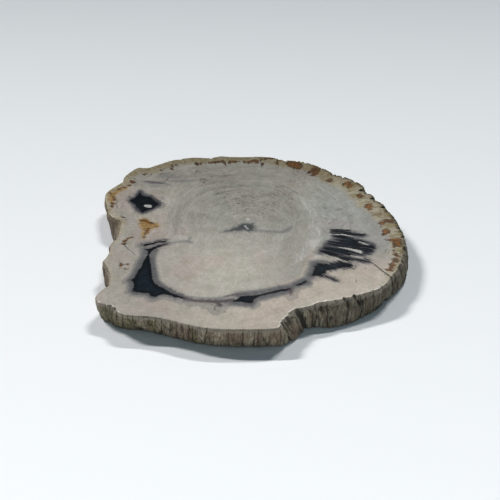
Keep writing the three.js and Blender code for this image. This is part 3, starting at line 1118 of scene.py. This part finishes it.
def add_halos(figure, colour):
    """Grey washes and smoky mauve round the ink, with thin lines that follow the front of the pools."""
    sheet, colours, place = figure.sheet, figure.colours, figure.place
    ink, mauve = figure.given["Ink"], figure.given["Mauve"]
    colour = sheet.mix(sheet.fade(ink, 10.0, 0.5, 0.0, 0.3), colour, colours.wash)
    wash = sheet.mix(sheet.fade(ink, 2.0, 9.0), colours.wash_dark, colours.wash)
    wash = sheet.tinted(wash, figure.cloud["Grain"], 0.12)
    colour, _ = figure.stain(colour, "Wash", wash, 3.0, 1.3, 4.0, 0.85)
    smoke = sheet.ripple(place, 5.0, 4.0, 0.65) * 16.0 + ink + figure.rays * 10.0
    colour = sheet.mix(sheet.fade(smoke, 5.6, -0.6, 0.0, 0.88), colour, colours.mauve_dark)

    in_front = sheet.fade(figure.given["Growth"], 99.0, 103.0) * sheet.fade(figure.y, 0.0, -25.0)
    in_front = in_front * sheet.fade(figure.x, 80.0, 60.0)
    skirt = sheet.ripple(place, 9.0, 2.0, 0.5) * 11.0 + sheet.math("MINIMUM", ink, mauve)
    within = in_front * sheet.fade(skirt, 8.6, 7.4)
    colour = sheet.mix(within * 0.42, colour, colours.wash)
    wave = abs(sheet.math("SINE", skirt * (math.pi / FRINGE_STEP)))
    colour = sheet.mix(sheet.fade(wave, 0.5, 0.1, 0.0, 0.42) * within, colour, colours.mauve)
    line = sheet.mix(sheet.fade(mauve, -0.8, -2.6), colours.mauve, colours.mauve_dark)
    return figure.stain(colour, "Mauve", line, 1.4, 1.2, 3.0, 0.85)[0]


def add_soot(figure, colour):
    """The sooty patch at the pith."""
    sheet, colours = figure.sheet, figure.colours
    soot = sheet.mix(sheet.fade(figure.given["Soot"], 2.0, -4.0), colours.wash, colours.soot)
    soot = sheet.tinted(soot, figure.cloud["Grain"], 0.5)
    return figure.stain(colour, "Soot", soot, 4.2, 2.4, 3.0, 0.9)[0]


def add_rust(figure, colour, sap_mask):
    """Rust stains, patchy and darker toward the back, and specks of rust in the sapwood."""
    sheet, colours, place, y = figure.sheet, figure.colours, figure.place, figure.y
    depth, grain = figure.given["Rust"], figure.cloud["Grain"]
    vein = sheet.fade((grain - 0.5) * 22.0 + depth, 0.6, -2.0)
    rust = sheet.mix(vein, colours.rust_dark, colours.rust)
    orange = sheet.ripple(place, 4.0, 3.0, 0.6) * 24.0 + depth + figure.rays * 16.0
    orange = sheet.fade(orange, -0.5, -3.5, 0.0, 0.85) * sheet.fade(y, 90.0, 135.0, 1.0, 0.5)
    rust = sheet.mix(orange, rust, colours.rust_core)
    for dark in (
        sheet.fade(sheet.noise(place, 5.0, 3.0, 0.65), 0.5, 0.6, 0.0, 0.8),
        sheet.fade(y, 30.0, 150.0, 0.0, 0.3),
    ):
        rust = sheet.mix(dark, rust, colours.rust_dark)
    rust = sheet.tinted(rust, grain, 0.6)
    colour, _ = figure.stain(colour, "Rust", rust, 1.0, 1.7, 2.4, 0.93, figure.rays * 14.0)
    specks = sheet.fade(sheet.noise(place, 2.1, 3.0, 0.6), 0.62, 0.68, 0.0, 0.8) * sap_mask
    return sheet.mix(specks, colour, colours.rust_dark)


def add_crust(figure, colour):
    """A dark crust that crumbles in from the edge at the back right, and painted shade in the dents of the
    edge all round.
    """
    sheet, colours = figure.sheet, figure.colours
    crumbly = sheet.fade(figure.x, 30.0, 100.0) * sheet.fade(figure.y, -75.0, -20.0)
    ragged = sheet.ripple(figure.place, 4.5, 4.0, 0.7) * 20.0 + figure.given["Edge"]
    crumbs = sheet.fade(figure.cloud["Grain"], 0.42, 0.54)
    crumbs = sheet.mix(crumbs, colours.rust_dark, colours.sapwood_dark)
    colour = sheet.mix(sheet.fade(ragged, 4.4, 1.4, 0.0, 0.8) * crumbly, colour, crumbs)
    # Painted shade in the dents and chips of the edge, by how deep the rim beside is carved
    return sheet.mix(sheet.fade(figure.given["Carved"], 1.0, 2.8, 0.0, 0.85), colour, colours.rust_dark)


def add_ink(figure, colour):
    """The ink, feathered along the rays on the right and crisp elsewhere, with a painted blue reflection in
    the middle of the pools in front; its mask too.
    """
    sheet, colours, x, y = figure.sheet, figure.colours, figure.x, figure.y
    feathered = sheet.fade(x, 50.0, 72.0) * sheet.fade(y, -80.0, -34.0, 0.12, 1.0)
    # Painted reflection: a blue sky reflection painted into the middle of the pools in front
    painted_reflection = sheet.fade(figure.given["Ink"], -1.5, -6.5, 0.0, 0.85) * sheet.fade(y, 30.0, -5.0)
    ink = sheet.tinted(sheet.mix(painted_reflection, colours.ink, colours.ink_blue), figure.patch["Grain"], 0.35)
    streaky = sheet.fade(figure.grain["Rays"], 0.52, 0.64, 0.0, 0.4) * feathered
    ink = sheet.mix(streaky, ink, colours.wash_dark)
    streak = figure.rays * (feathered * 26.0)
    return figure.stain(colour, "Ink", ink, feathered * 0.9 + 0.9, 1.0, 3.0, 1.0, streak)


def build_figure_group(colours):
    """The slab's whole figure: its wood, its sapwood and its stains from the broadest to the sharpest."""
    inputs = [("Position", VECTOR, None)]
    inputs += [(name, FLOAT, 0.0) for name in (*FIGURE_VALUES, "Blur")]
    outputs = [("Colour", COLOUR), ("Ink Mask", FLOAT), ("Open", FLOAT)]
    sheet, given, made = new_group("stone_figure", inputs, outputs)
    figure = Figure(sheet, given, colours)
    colour, sap_mask = add_sapwood(figure, plain_wood(figure))
    for layer in (add_ochre, add_arcs, add_halos, add_soot):
        colour = layer(figure, colour)
    colour = add_crust(figure, add_rust(figure, colour, sap_mask))
    colour, ink_mask = add_ink(figure, colour)
    quartz = sheet.tinted(colours.pale, figure.cloud["Grain"], 0.16)
    colour, _ = figure.stain(colour, "Pale", quartz, 0.9, 0.7, 2.2, 0.8)
    colour, opened = figure.stain(colour, "Cracks", colours.crack, 0.35, 0.2, 1.4, 0.95)
    sheet.feed(made["Colour"], colour)
    sheet.feed(made["Ink Mask"], ink_mask)
    sheet.feed(made["Open"], opened)


def figure_colour(sheet, place, blur):
    """The figure group, fed from the slab's attributes."""
    feeds = {name: sheet.attribute(name.lower()) for name in FIGURE_VALUES}
    return sheet.group("stone_figure", {**feeds, "Position": place, "Blur": blur})


def new_material(name, **uniform):
    """A material with its sheet, its Principled shader and the object's coordinates in millimetres."""
    material = bpy.data.materials.new(name)
    material.use_nodes = True
    sheet = Sheet(material.node_tree)
    shader = material.node_tree.nodes["Principled BSDF"]
    for socket, value in uniform.items():
        shader.inputs[socket.replace("_", " ")].default_value = value
    place = sheet.value("ShaderNodeTexCoord", output="Object")
    return material, sheet, shader, sheet.vector_math("MULTIPLY", place, (1 / MM, 1 / MM, 1 / MM))


def bump(sheet, shader, height, strength, distance):
    feeds = {"Height": height, "Strength": strength, "Distance": distance}
    sheet.feed(shader.inputs["Normal"], sheet.value("ShaderNodeBump", feeds))


def polished_material():
    """The polished face: the figure under a worn satin polish, duller on the pale wood than on the ink."""
    material, sheet, shader, place = new_material("polished_face", Specular_IOR_Level=0.35)
    figure = figure_colour(sheet, place, 0.0)
    sheet.feed(shader.inputs["Base Color"], figure["Colour"])
    smear = sheet.group("mineral_mottle", {"Position": place, "Size": 30.0})
    rough = sheet.linear(smear["Cloud"], 0.3, 0.7, 0.26, 0.38)
    rough = figure["Ink Mask"] * -0.08 + rough + figure["Open"] * 0.5
    sheet.feed(shader.inputs["Roughness"], rough)
    bump(sheet, shader, smear["Grain"] * 0.5 - figure["Open"], 0.25, 0.15 * MM)
    return material


def plain_bark(sheet, colours, place, streak, grain):
    """The rim's own colour: brown and olive streaks, darker to the right and in the broken left side."""
    x, y, _ = sheet.split(place)
    patch = sheet.noise(place, 17.0, 3.0, 0.55)
    broad = sheet.noise(sheet.vector_math("MULTIPLY", place, (1.0, 1.0, 0.06)), 8.0, 2.0, 0.5)
    colour = sheet.mix(sheet.fade(broad, 0.42, 0.6), colours.bark, colours.bark_brown)
    moss = sheet.fade((patch - 0.5) * 2.4 + sheet.attribute("moss"), 0.1, 0.7, 0.0, 0.75)
    olive = sheet.math("MAXIMUM", sheet.fade(patch, 0.56, 0.7, 0.0, 0.4), moss)
    golden = sheet.mix(sheet.fade(streak, 0.4, 0.6), colours.bark_olive, colours.moss)
    colour = sheet.mix(olive, colour, golden)
    colour = sheet.mix(sheet.fade(x, 40.0, 150.0, 0.0, 0.75), colour, colours.bark_dark)
    broken_left = sheet.fade(x, -138.0, -154.0) * sheet.fade(y, -100.0, -75.0)
    colour = sheet.mix(broken_left * sheet.fade(y, 80.0, 45.0, 0.0, 0.8), colour, colours.notch)
    colour = sheet.mix(sheet.fade(x, -85.0, -140.0, 0.0, 0.3), colour, colours.bark_dark)
    return sheet.tinted(sheet.tinted(colour, streak, 0.6), grain, 0.36), patch


def bark_material(colours):
    """The natural rim: fine upright grain, with painted shade in its grooves and dents and towards its foot,
    paler where it is worn at the top.
    """
    material, sheet, shader, place = new_material("bark_rim")
    x, y, z = sheet.split(place)

    def upright(stretch, size, detail, roughness):
        return sheet.noise(sheet.vector_math("MULTIPLY", place, (1.0, 1.0, stretch)), size, detail, roughness)

    streak = upright(0.06, 1.6, 3.0, 0.65)
    grain = upright(0.3, 1.1, 3.0, 0.65)
    colour, patch = plain_bark(sheet, colours, place, streak, grain)
    level = (patch - 0.5) * 6.0 + (streak - 0.5) * 7.0 + z
    broken = sheet.math("MAXIMUM", sheet.fade(x, 95.0, 155.0), sheet.fade(x, -115.0, -145.0))
    broken = broken * sheet.fade(y, -95.0, -55.0, 0.0, 0.65)
    worn = sheet.fade(level, 22.6, 25.2) * (1.0 - broken)
    sap = sheet.mix(sheet.fade(y, -60.0, 60.0), colours.worn, colours.sapwood)
    colour = sheet.mix(worn * 0.92, colour, sheet.tinted(sap, streak, 0.14))
    # Painted shade in the narrow grooves, in the carved grooves and dents and towards the foot; the upright
    # noise gives the rim's own thin dark streaks
    for dark in (
        sheet.attribute("groove") * 0.8,
        sheet.fade(sheet.attribute("carved"), 0.4, 1.9, 0.0, 0.85),
        sheet.fade(upright(0.5, 2.6, 2.0, 0.6), 0.63, 0.7, 0.0, 0.7),
        sheet.fade(z, 5.0, -1.0, 0.0, 0.35),
    ):
        colour = sheet.mix(dark, colour, colours.groove)
    sheet.feed(shader.inputs["Base Color"], colour)
    sheet.feed(shader.inputs["Roughness"], sheet.linear(worn, 0.0, 1.0, 0.88, 0.6))
    bump(sheet, shader, grain * 0.6 + streak, 0.8, 0.6 * MM)
    return material


def sawn_material(colours):
    """The underside: the same figure, dusty and blurred, with the saw's fine arcs across it."""
    material, sheet, shader, place = new_material("sawn_underside")
    figure = figure_colour(sheet, place, 1.2)
    dust = sheet.group("mineral_mottle", {"Position": place, "Size": 22.0})
    share = sheet.linear(dust["Cloud"], 0.3, 0.7, 0.3, 0.55)
    sheet.feed(shader.inputs["Base Color"], sheet.mix(share, figure["Colour"], colours.dust))
    sheet.feed(shader.inputs["Roughness"], sheet.linear(dust["Grain"], 0.3, 0.7, 0.72, 0.9))
    from_centre = sheet.vector_math("DISTANCE", place, SAW_CENTRE, output=1)
    saw = sheet.noise(sheet.joined(from_centre, 0.0, 0.0), 1.1, 2.0, 0.7)
    bump(sheet, shader, dust["Grain"] * 0.4 + saw, 0.5, 0.25 * MM)
    return material


# ---------------------------------------------------------------------------------------------------
# The bark's fine relief, by Geometry Nodes
# ---------------------------------------------------------------------------------------------------

def bark_relief_tree():
    """Flutes, narrow grooves, grain and crumbs that push the rim along its own outward direction."""
    numbers = [
        "Flute Depth", "Flute Width", "Groove Depth", "Groove Width", "Grain Depth", "Grain Width",
        "Crumb Depth", "Seed",
    ]
    inputs = [("Geometry", "NodeSocketGeometry", None), ("Bark", "NodeSocketMaterial", None)]
    inputs += [(name, FLOAT, 0.0) for name in numbers]
    outputs = [("Geometry", "NodeSocketGeometry")]
    sheet, given, made = new_group("bark_relief", inputs, outputs, "GeometryNodeTree")
    place = sheet.value("GeometryNodeInputPosition")

    def named(name, kind):
        return sheet.value("GeometryNodeInputNamedAttribute", {"Name": name}, "Attribute", data_type=kind)

    def lumps(stretch, width, detail):
        """Noise whose lumps are drawn out along the rim's height; the seed shifts the pattern."""
        feeds = {
            "Vector": sheet.vector_math("MULTIPLY", place, (1.0, 1.0, stretch)), "W": given["Seed"],
            "Scale": 1.0 / width, "Detail": detail, "Roughness": 0.55,
        }
        return sheet.value("ShaderNodeTexNoise", feeds, noise_dimensions="4D")

    def waves(stretch, width, detail, depth):
        return (lumps(stretch, width, detail) - 0.5) * (depth * 3.0)

    flutes = waves(0.08, given["Flute Width"], 1.0, given["Flute Depth"])
    grain = waves(0.1, given["Grain Width"], 3.0, given["Grain Depth"])
    crumbs = waves(0.6, 4.0 * MM, 3.0, given["Crumb Depth"])
    valley = sheet.fade(abs(lumps(0.06, given["Groove Width"], 1.0) - 0.5), 0.035, 0.0)
    groove = valley * sheet.fade(lumps(0.5, 20.0 * MM, 1.0), 0.42, 0.6)
    total = flutes + grain + crumbs - groove * given["Groove Depth"]
    total = total * named("bark_share", "FLOAT")
    feeds = {0: named("bark_out", "FLOAT_VECTOR"), "Scale": total}
    offset = sheet.value("ShaderNodeVectorMath", feeds, operation="SCALE")
    # The groove mask is also kept on the mesh, for the bark's painted shade in the grooves
    feeds = {"Geometry": given["Geometry"], "Name": "groove", "Value": groove}
    kept = sheet.value("GeometryNodeStoreNamedAttribute", feeds)
    moved = sheet.value("GeometryNodeSetPosition", {"Geometry": kept, "Offset": offset})
    real = sheet.value("GeometryNodeRealizeInstances", {"Geometry": moved})
    feeds = {2: named("material_index", "INT"), 3: RIM}
    on_rim = sheet.value("FunctionNodeCompare", feeds, data_type="INT", operation="EQUAL")
    feeds = {"Geometry": real, "Material": given["Bark"], "Selection": on_rim}
    sheet.feed(made["Geometry"], sheet.value("GeometryNodeSetMaterial", feeds))
    return sheet.tree


def apply_relief(slab, settings, bark):
    """Runs the relief on the slab, keeps the result as its plain mesh and removes the modifier.

    The relief's inputs are set from the settings of the same names."""
    modifier = slab.modifiers.new("bark_relief", "NODES")
    modifier.node_group = bark_relief_tree()
    for item in modifier.node_group.interface.items_tree:
        if item.name == "Bark":
            modifier[item.identifier] = bark
        elif item.name != "Geometry":
            modifier[item.identifier] = float(getattr(settings, item.name.lower().replace(" ", "_")))
    scene_graph = bpy.context.evaluated_depsgraph_get()
    mesh = bpy.data.meshes.new_from_object(
        slab.evaluated_get(scene_graph), preserve_all_data_layers=True, depsgraph=scene_graph)
    slab.modifiers.remove(modifier)
    slab.data = mesh
    mesh.name = "slab_surface"


def finish_surface(mesh):
    """Keeps the relief inside the CAD solid's box, shades it smooth and marks the underside's edge sharp."""
    places = np.zeros(len(mesh.vertices) * 3, np.float32)
    mesh.vertices.foreach_get("co", places)
    places = np.clip(places.reshape(-1, 3), np.array(LOW), np.array(HIGH))
    mesh.vertices.foreach_set("co", places.ravel())
    mesh.polygons.foreach_set("use_smooth", np.ones(len(mesh.polygons), bool))
    work = bmesh.new()
    work.from_mesh(mesh)
    for edge in work.edges:
        sides = [face.material_index for face in edge.link_faces]
        edge.smooth = UNDERSIDE not in sides or len(set(sides)) == 1
    work.to_mesh(mesh)
    work.free()
    mesh.update()


# ---------------------------------------------------------------------------------------------------
# Settings, operators and panel
# ---------------------------------------------------------------------------------------------------

def tint(name, code, description):
    label = name.replace("_", " ").capitalize()
    return FloatVectorProperty(
        name=label, description=description, default=srgb(code), subtype="COLOR", size=3, min=0.0, max=1.0)


def number(name, description, default, **more):
    return FloatProperty(name=name, description=description, default=default, **more)


def length(name, description, millimetres, low=0.0):
    return number(name, description, millimetres * MM, unit="LENGTH", precision=5, min=low * MM)


# The stone's colours: (display colour, what it is)
TINTS = {
    "cream": (0xB7AFA2, "Pale heartwood in front"),
    "cream_right": (0x9D9A8F, "Pale heartwood on the right"),
    "grey": (0x99958B, "Heartwood in the middle"),
    "back": (0x928D82, "Heartwood at the back"),
    "left": (0xA69D92, "Wood outside the heart, on the left"),
    "front": (0xB8AD9E, "Wood outside the heart, in front"),
    "right": (0x9E9C94, "Wood outside the heart, on the right"),
    "mauve_tint": (0xFAEAEC, "Cloudy pinkish tint"),
    "green_tint": (0xE2E8DC, "Cloudy greenish tint"),
    "shade": (0x7A776E, "Faint dark arcs in the heartwood"),
    "fleck": (0x5C5B52, "Dark flecks along the rings"),
    "sapwood": (0x8A7A52, "Band under the bark"),
    "sapwood_pale": (0xB0A48C, "Paler patches of the band under the bark"),
    "sapwood_dark": (0x6A5A36, "Darker crumbs and outer edge of that band"),
    "ochre": (0xA37E3C, "Golden blotches"),
    "ochre_dark": (0x7A5828, "Veins in the golden blotches"),
    "rust": (0x633B08, "Rust stains"),
    # Also the painted shade in the dents and chips of the polished edge
    "rust_dark": (0x2C1A05, "Dark edge of the rust"),
    "rust_core": (0x875214, "Orange middle of the rust"),
    "wash": (0x737270, "Grey washes beside the ink"),
    "wash_dark": (0x3F4245, "Grey washes where they meet the ink"),
    "mauve": (0x584A4D, "Mauve lines"),
    "mauve_dark": (0x3E383D, "Smoky edge of the ink"),
    "soot": (0x34363A, "Dark patch at the pith"),
    "ink": (0x0A0B0E, "Black mineral pools"),
    # Painted reflection of the sky in the middle of the pools
    "ink_blue": (0x151C23, "Bluer middle of the pools"),
    "pale": (0xC2BEB6, "Quartz streaks"),
    "crack": (0x2A241D, "Crack lines"),
    "bark": (0xA2957F, "Rim"),
    "bark_brown": (0x82705E, "Browner streaks of the rim"),
    "bark_olive": (0x706A4B, "Olive patches of the rim"),
    "bark_dark": (0x615B4B, "Dark right side of the rim"),
    "notch": (0x6E5A49, "Dark brown of the broken left side of the rim"),
    "moss": (0x746A42, "Golden green streaks of the rim"),
    "worn": (0x9D917F, "Worn band under the polished face"),
    # Painted shade of the rim's grooves, dents and foot, and the colour of its thin dark streaks
    "groove": (0x29241D, "Bottom of the rim's grooves"),
    "dust": (0xA8A29A, "Saw dust on the underside"),
}


class SlabSettings(bpy.types.PropertyGroup):
    """Sizes of the slab's surface detail."""

    rim_columns: IntProperty(
        name="Rim columns", description="Upright lines round the rim", default=1720, min=200)
    rim_rows: IntProperty(name="Rim rows", description="Rows between the rim's worn edges", default=16, min=4)
    face_step: length("Face step", "Space between the plain face's vertices", 2.4, 0.5)
    stain_step: length("Stain step", "Space between vertices near the edge of a stain", 1.15, 0.5)
    underside_step: length("Underside step", "Space between the underside's vertices", 4.0, 1)
    flute_depth: length("Flute depth", "Depth of the bark's flutes", 0.9)
    flute_width: length("Flute width", "Width of the bark's flutes", 7.0, 0.5)
    groove_depth: length("Groove depth", "Depth of the narrow grooves", 1.8)
    groove_width: length("Groove spacing", "Space between the narrow grooves", 7.5, 0.5)
    grain_depth: length("Grain depth", "Depth of the bark's fine grain", 0.6)
    grain_width: length("Grain width", "Width of the bark's fine grain", 1.9, 0.2)
    crumb_depth: length("Crumb depth", "Depth of the bark's crumbly pits", 0.35)
    seed: IntProperty(name="Seed", description="Picks the pattern of the relief", default=7)


class FinishSettings(bpy.types.PropertyGroup):
    """Colours of the stone."""

    __annotations__ = {name: tint(name, *row) for name, row in TINTS.items()}


class StageSettings(bpy.types.PropertyGroup):
    """The floor, the lights and the view."""

    floor: tint("floor", 0xF6F6F5, "Plain pale floor")
    left_power: number("Left power", "Light behind on the left, in watts", 2060.0)
    right_power: number("Right power", "Light behind on the right, in watts", 1520.0)
    fill_power: number("Fill power", "Weak light in front, in watts", 8.0)
    sky: number("Sky", "Strength of the even light from all round", 0.11)
    elevation: number("Elevation", "How far the view looks down", math.radians(37), subtype="ANGLE")
    distance: length("Distance", "From the view to the slab", 1175)
    lens: number("Lens", "Focal length in mm on a 36 mm sensor", 75.0)


def colours_of(settings):
    return SimpleNamespace(**{name: (*getattr(settings, name), 1.0) for name in TINTS})


class SLAB_OT_build(bpy.types.Operator):
    """Build the petrified wood slab over its CAD solid"""

    bl_idname = "slab.build"
    bl_label = "Build slab"

    def execute(self, context):
        settings = context.scene.slab
        colours = colours_of(context.scene.slab_finish)
        build_stain_group()
        build_grain_group()
        build_mottle_group()
        build_figure_group(colours)
        bark = bark_material(colours)
        slab = bpy.data.objects.new("stone_slab", slab_mesh(settings))
        context.scene.collection.objects.link(slab)
        for material in (polished_material(), bark, sawn_material(colours)):
            slab.data.materials.append(material)
        apply_relief(slab, settings, bark)
        finish_surface(slab.data)
        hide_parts(NODE)
        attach(slab, "root")
        return {"FINISHED"}


class SLAB_OT_stage(bpy.types.Operator):
    """Build the plain floor, the soft lights and the view"""

    bl_idname = "slab.stage"
    bl_label = "Build stage"

    def execute(self, context):
        settings = context.scene.slab_stage
        build_floor(settings)
        build_lights(settings)
        build_view(settings)
        return {"FINISHED"}


# Soft lights behind the slab: (setting of its power, place in metres, how far up it faces, colour)
BACK_LIGHTS = (
    ("left_power", (-4.7, 2.95, 5.75), 0.29, (0.99, 0.985, 1.0)),
    ("right_power", (2.18, 4.1, 6.51), 0.37, (0.97, 0.985, 1.0)),
)
BACK_LIGHT_SIZE = (2.2, 0.9)  # metres
FILL_PLACE, FILL_SIZE = (0.5, -2.6, 2.4), (2.5, 2.0)  # metres
PALE_BLUE, SKY_BLUE = (0.85, 0.95, 1.0), (0.5, 0.8, 1.0)
FLOOR_HALF = 6.0  # metres
FLOOR_GAP = 0.2 * MM  # between the floor and the slab's underside
AIM_SHIFT = Vector((-3 * MM, -14 * MM, 1 * MM))  # from the slab's middle to the middle of the view


def build_floor(settings):
    """A wide plain floor, just clear of the slab's underside."""
    mesh = bpy.data.meshes.new("floor")
    turns = ((-1, -1), (1, -1), (1, 1), (-1, 1))
    corners = [(x * FLOOR_HALF, y * FLOOR_HALF, -FLOOR_GAP) for x, y in turns]
    mesh.from_pydata(corners, [], [(0, 1, 2, 3)])
    floor = bpy.data.objects.new("floor", mesh)
    bpy.context.scene.collection.objects.link(floor)
    material = bpy.data.materials.new("floor")
    material.use_nodes = True
    shader = material.node_tree.nodes["Principled BSDF"]
    shader.inputs["Base Color"].default_value = (*settings.floor, 1.0)
    shader.inputs["Roughness"].default_value = 0.9
    shader.inputs["Specular IOR Level"].default_value = 0.1
    mesh.materials.append(material)


def add_light(name, place, aim, size, power, colour):
    """A rectangular soft light at a place, turned to another place."""
    lamp = bpy.data.lights.new(name, "AREA")
    lamp.shape = "RECTANGLE"
    lamp.size, lamp.size_y = size
    lamp.energy = power
    lamp.color = colour
    light = bpy.data.objects.new(name, lamp)
    light.location = place
    light.rotation_euler = (Vector(aim) - Vector(place)).to_track_quat("-Z", "Y").to_euler()
    bpy.context.scene.collection.objects.link(light)


def build_lights(settings):
    """Two soft lights behind the slab that face over it to the front, and weak light all round."""
    for power, place, rise, colour in BACK_LIGHTS:
        facing = Vector((-0.02 * place[0], -0.93, rise))
        aim = Vector(place) + facing
        add_light("back_light", place, aim, BACK_LIGHT_SIZE, getattr(settings, power), colour)
    add_light("fill", FILL_PLACE, (0, 0, 0), FILL_SIZE, settings.fill_power, PALE_BLUE)
    world = bpy.data.worlds.new("even_light")
    world.use_nodes = True
    background = world.node_tree.nodes["Background"]
    background.inputs["Color"].default_value = (*SKY_BLUE, 1.0)
    background.inputs["Strength"].default_value = settings.sky
    bpy.context.scene.world = world
    bpy.context.scene.view_settings.view_transform = "Standard"


def build_view(settings):
    """The camera, a little in front of the slab's middle and looking down at it."""
    aim = (LOW + HIGH) / 2 + AIM_SHIFT
    away = Vector((0, -math.cos(settings.elevation), math.sin(settings.elevation)))
    camera = bpy.data.objects.new("view", bpy.data.cameras.new("view"))
    camera.data.lens = settings.lens
    camera.data.sensor_width = 36.0
    camera.location = aim + away * settings.distance
    camera.rotation_euler = (-away).to_track_quat("-Z", "Y").to_euler()
    bpy.context.scene.collection.objects.link(camera)
    bpy.context.scene.camera = camera


class SLAB_PT_panel(bpy.types.Panel):
    """The slab's settings and builders, in the sidebar"""

    bl_idname = "SLAB_PT_panel"
    bl_label = "Petrified wood slab"
    bl_space_type = "VIEW_3D"
    bl_region_type = "UI"
    bl_category = "Slab"

    def draw(self, context):
        parts = ((SLAB_OT_build, ("slab", "slab_finish")), (SLAB_OT_stage, ("slab_stage",)))
        for operator, groups in parts:
            box = self.layout.box()
            for group in groups:
                settings = getattr(context.scene, group)
                for name in settings.__annotations__:
                    box.prop(settings, name)
            box.operator(operator.bl_idname)


CLASSES = (SlabSettings, FinishSettings, StageSettings, SLAB_OT_build, SLAB_OT_stage, SLAB_PT_panel)


def register():
    for item in CLASSES:
        bpy.utils.register_class(item)
    bpy.types.Scene.slab = PointerProperty(type=SlabSettings)
    bpy.types.Scene.slab_finish = PointerProperty(type=FinishSettings)
    bpy.types.Scene.slab_stage = PointerProperty(type=StageSettings)


def unregister():
    del bpy.types.Scene.slab_stage
    del bpy.types.Scene.slab_finish
    del bpy.types.Scene.slab
    for item in reversed(CLASSES):
        bpy.utils.unregister_class(item)


def main():
    register()
    bpy.ops.slab.build()
    bpy.ops.slab.stage()


if __name__ == "__main__":
    main()
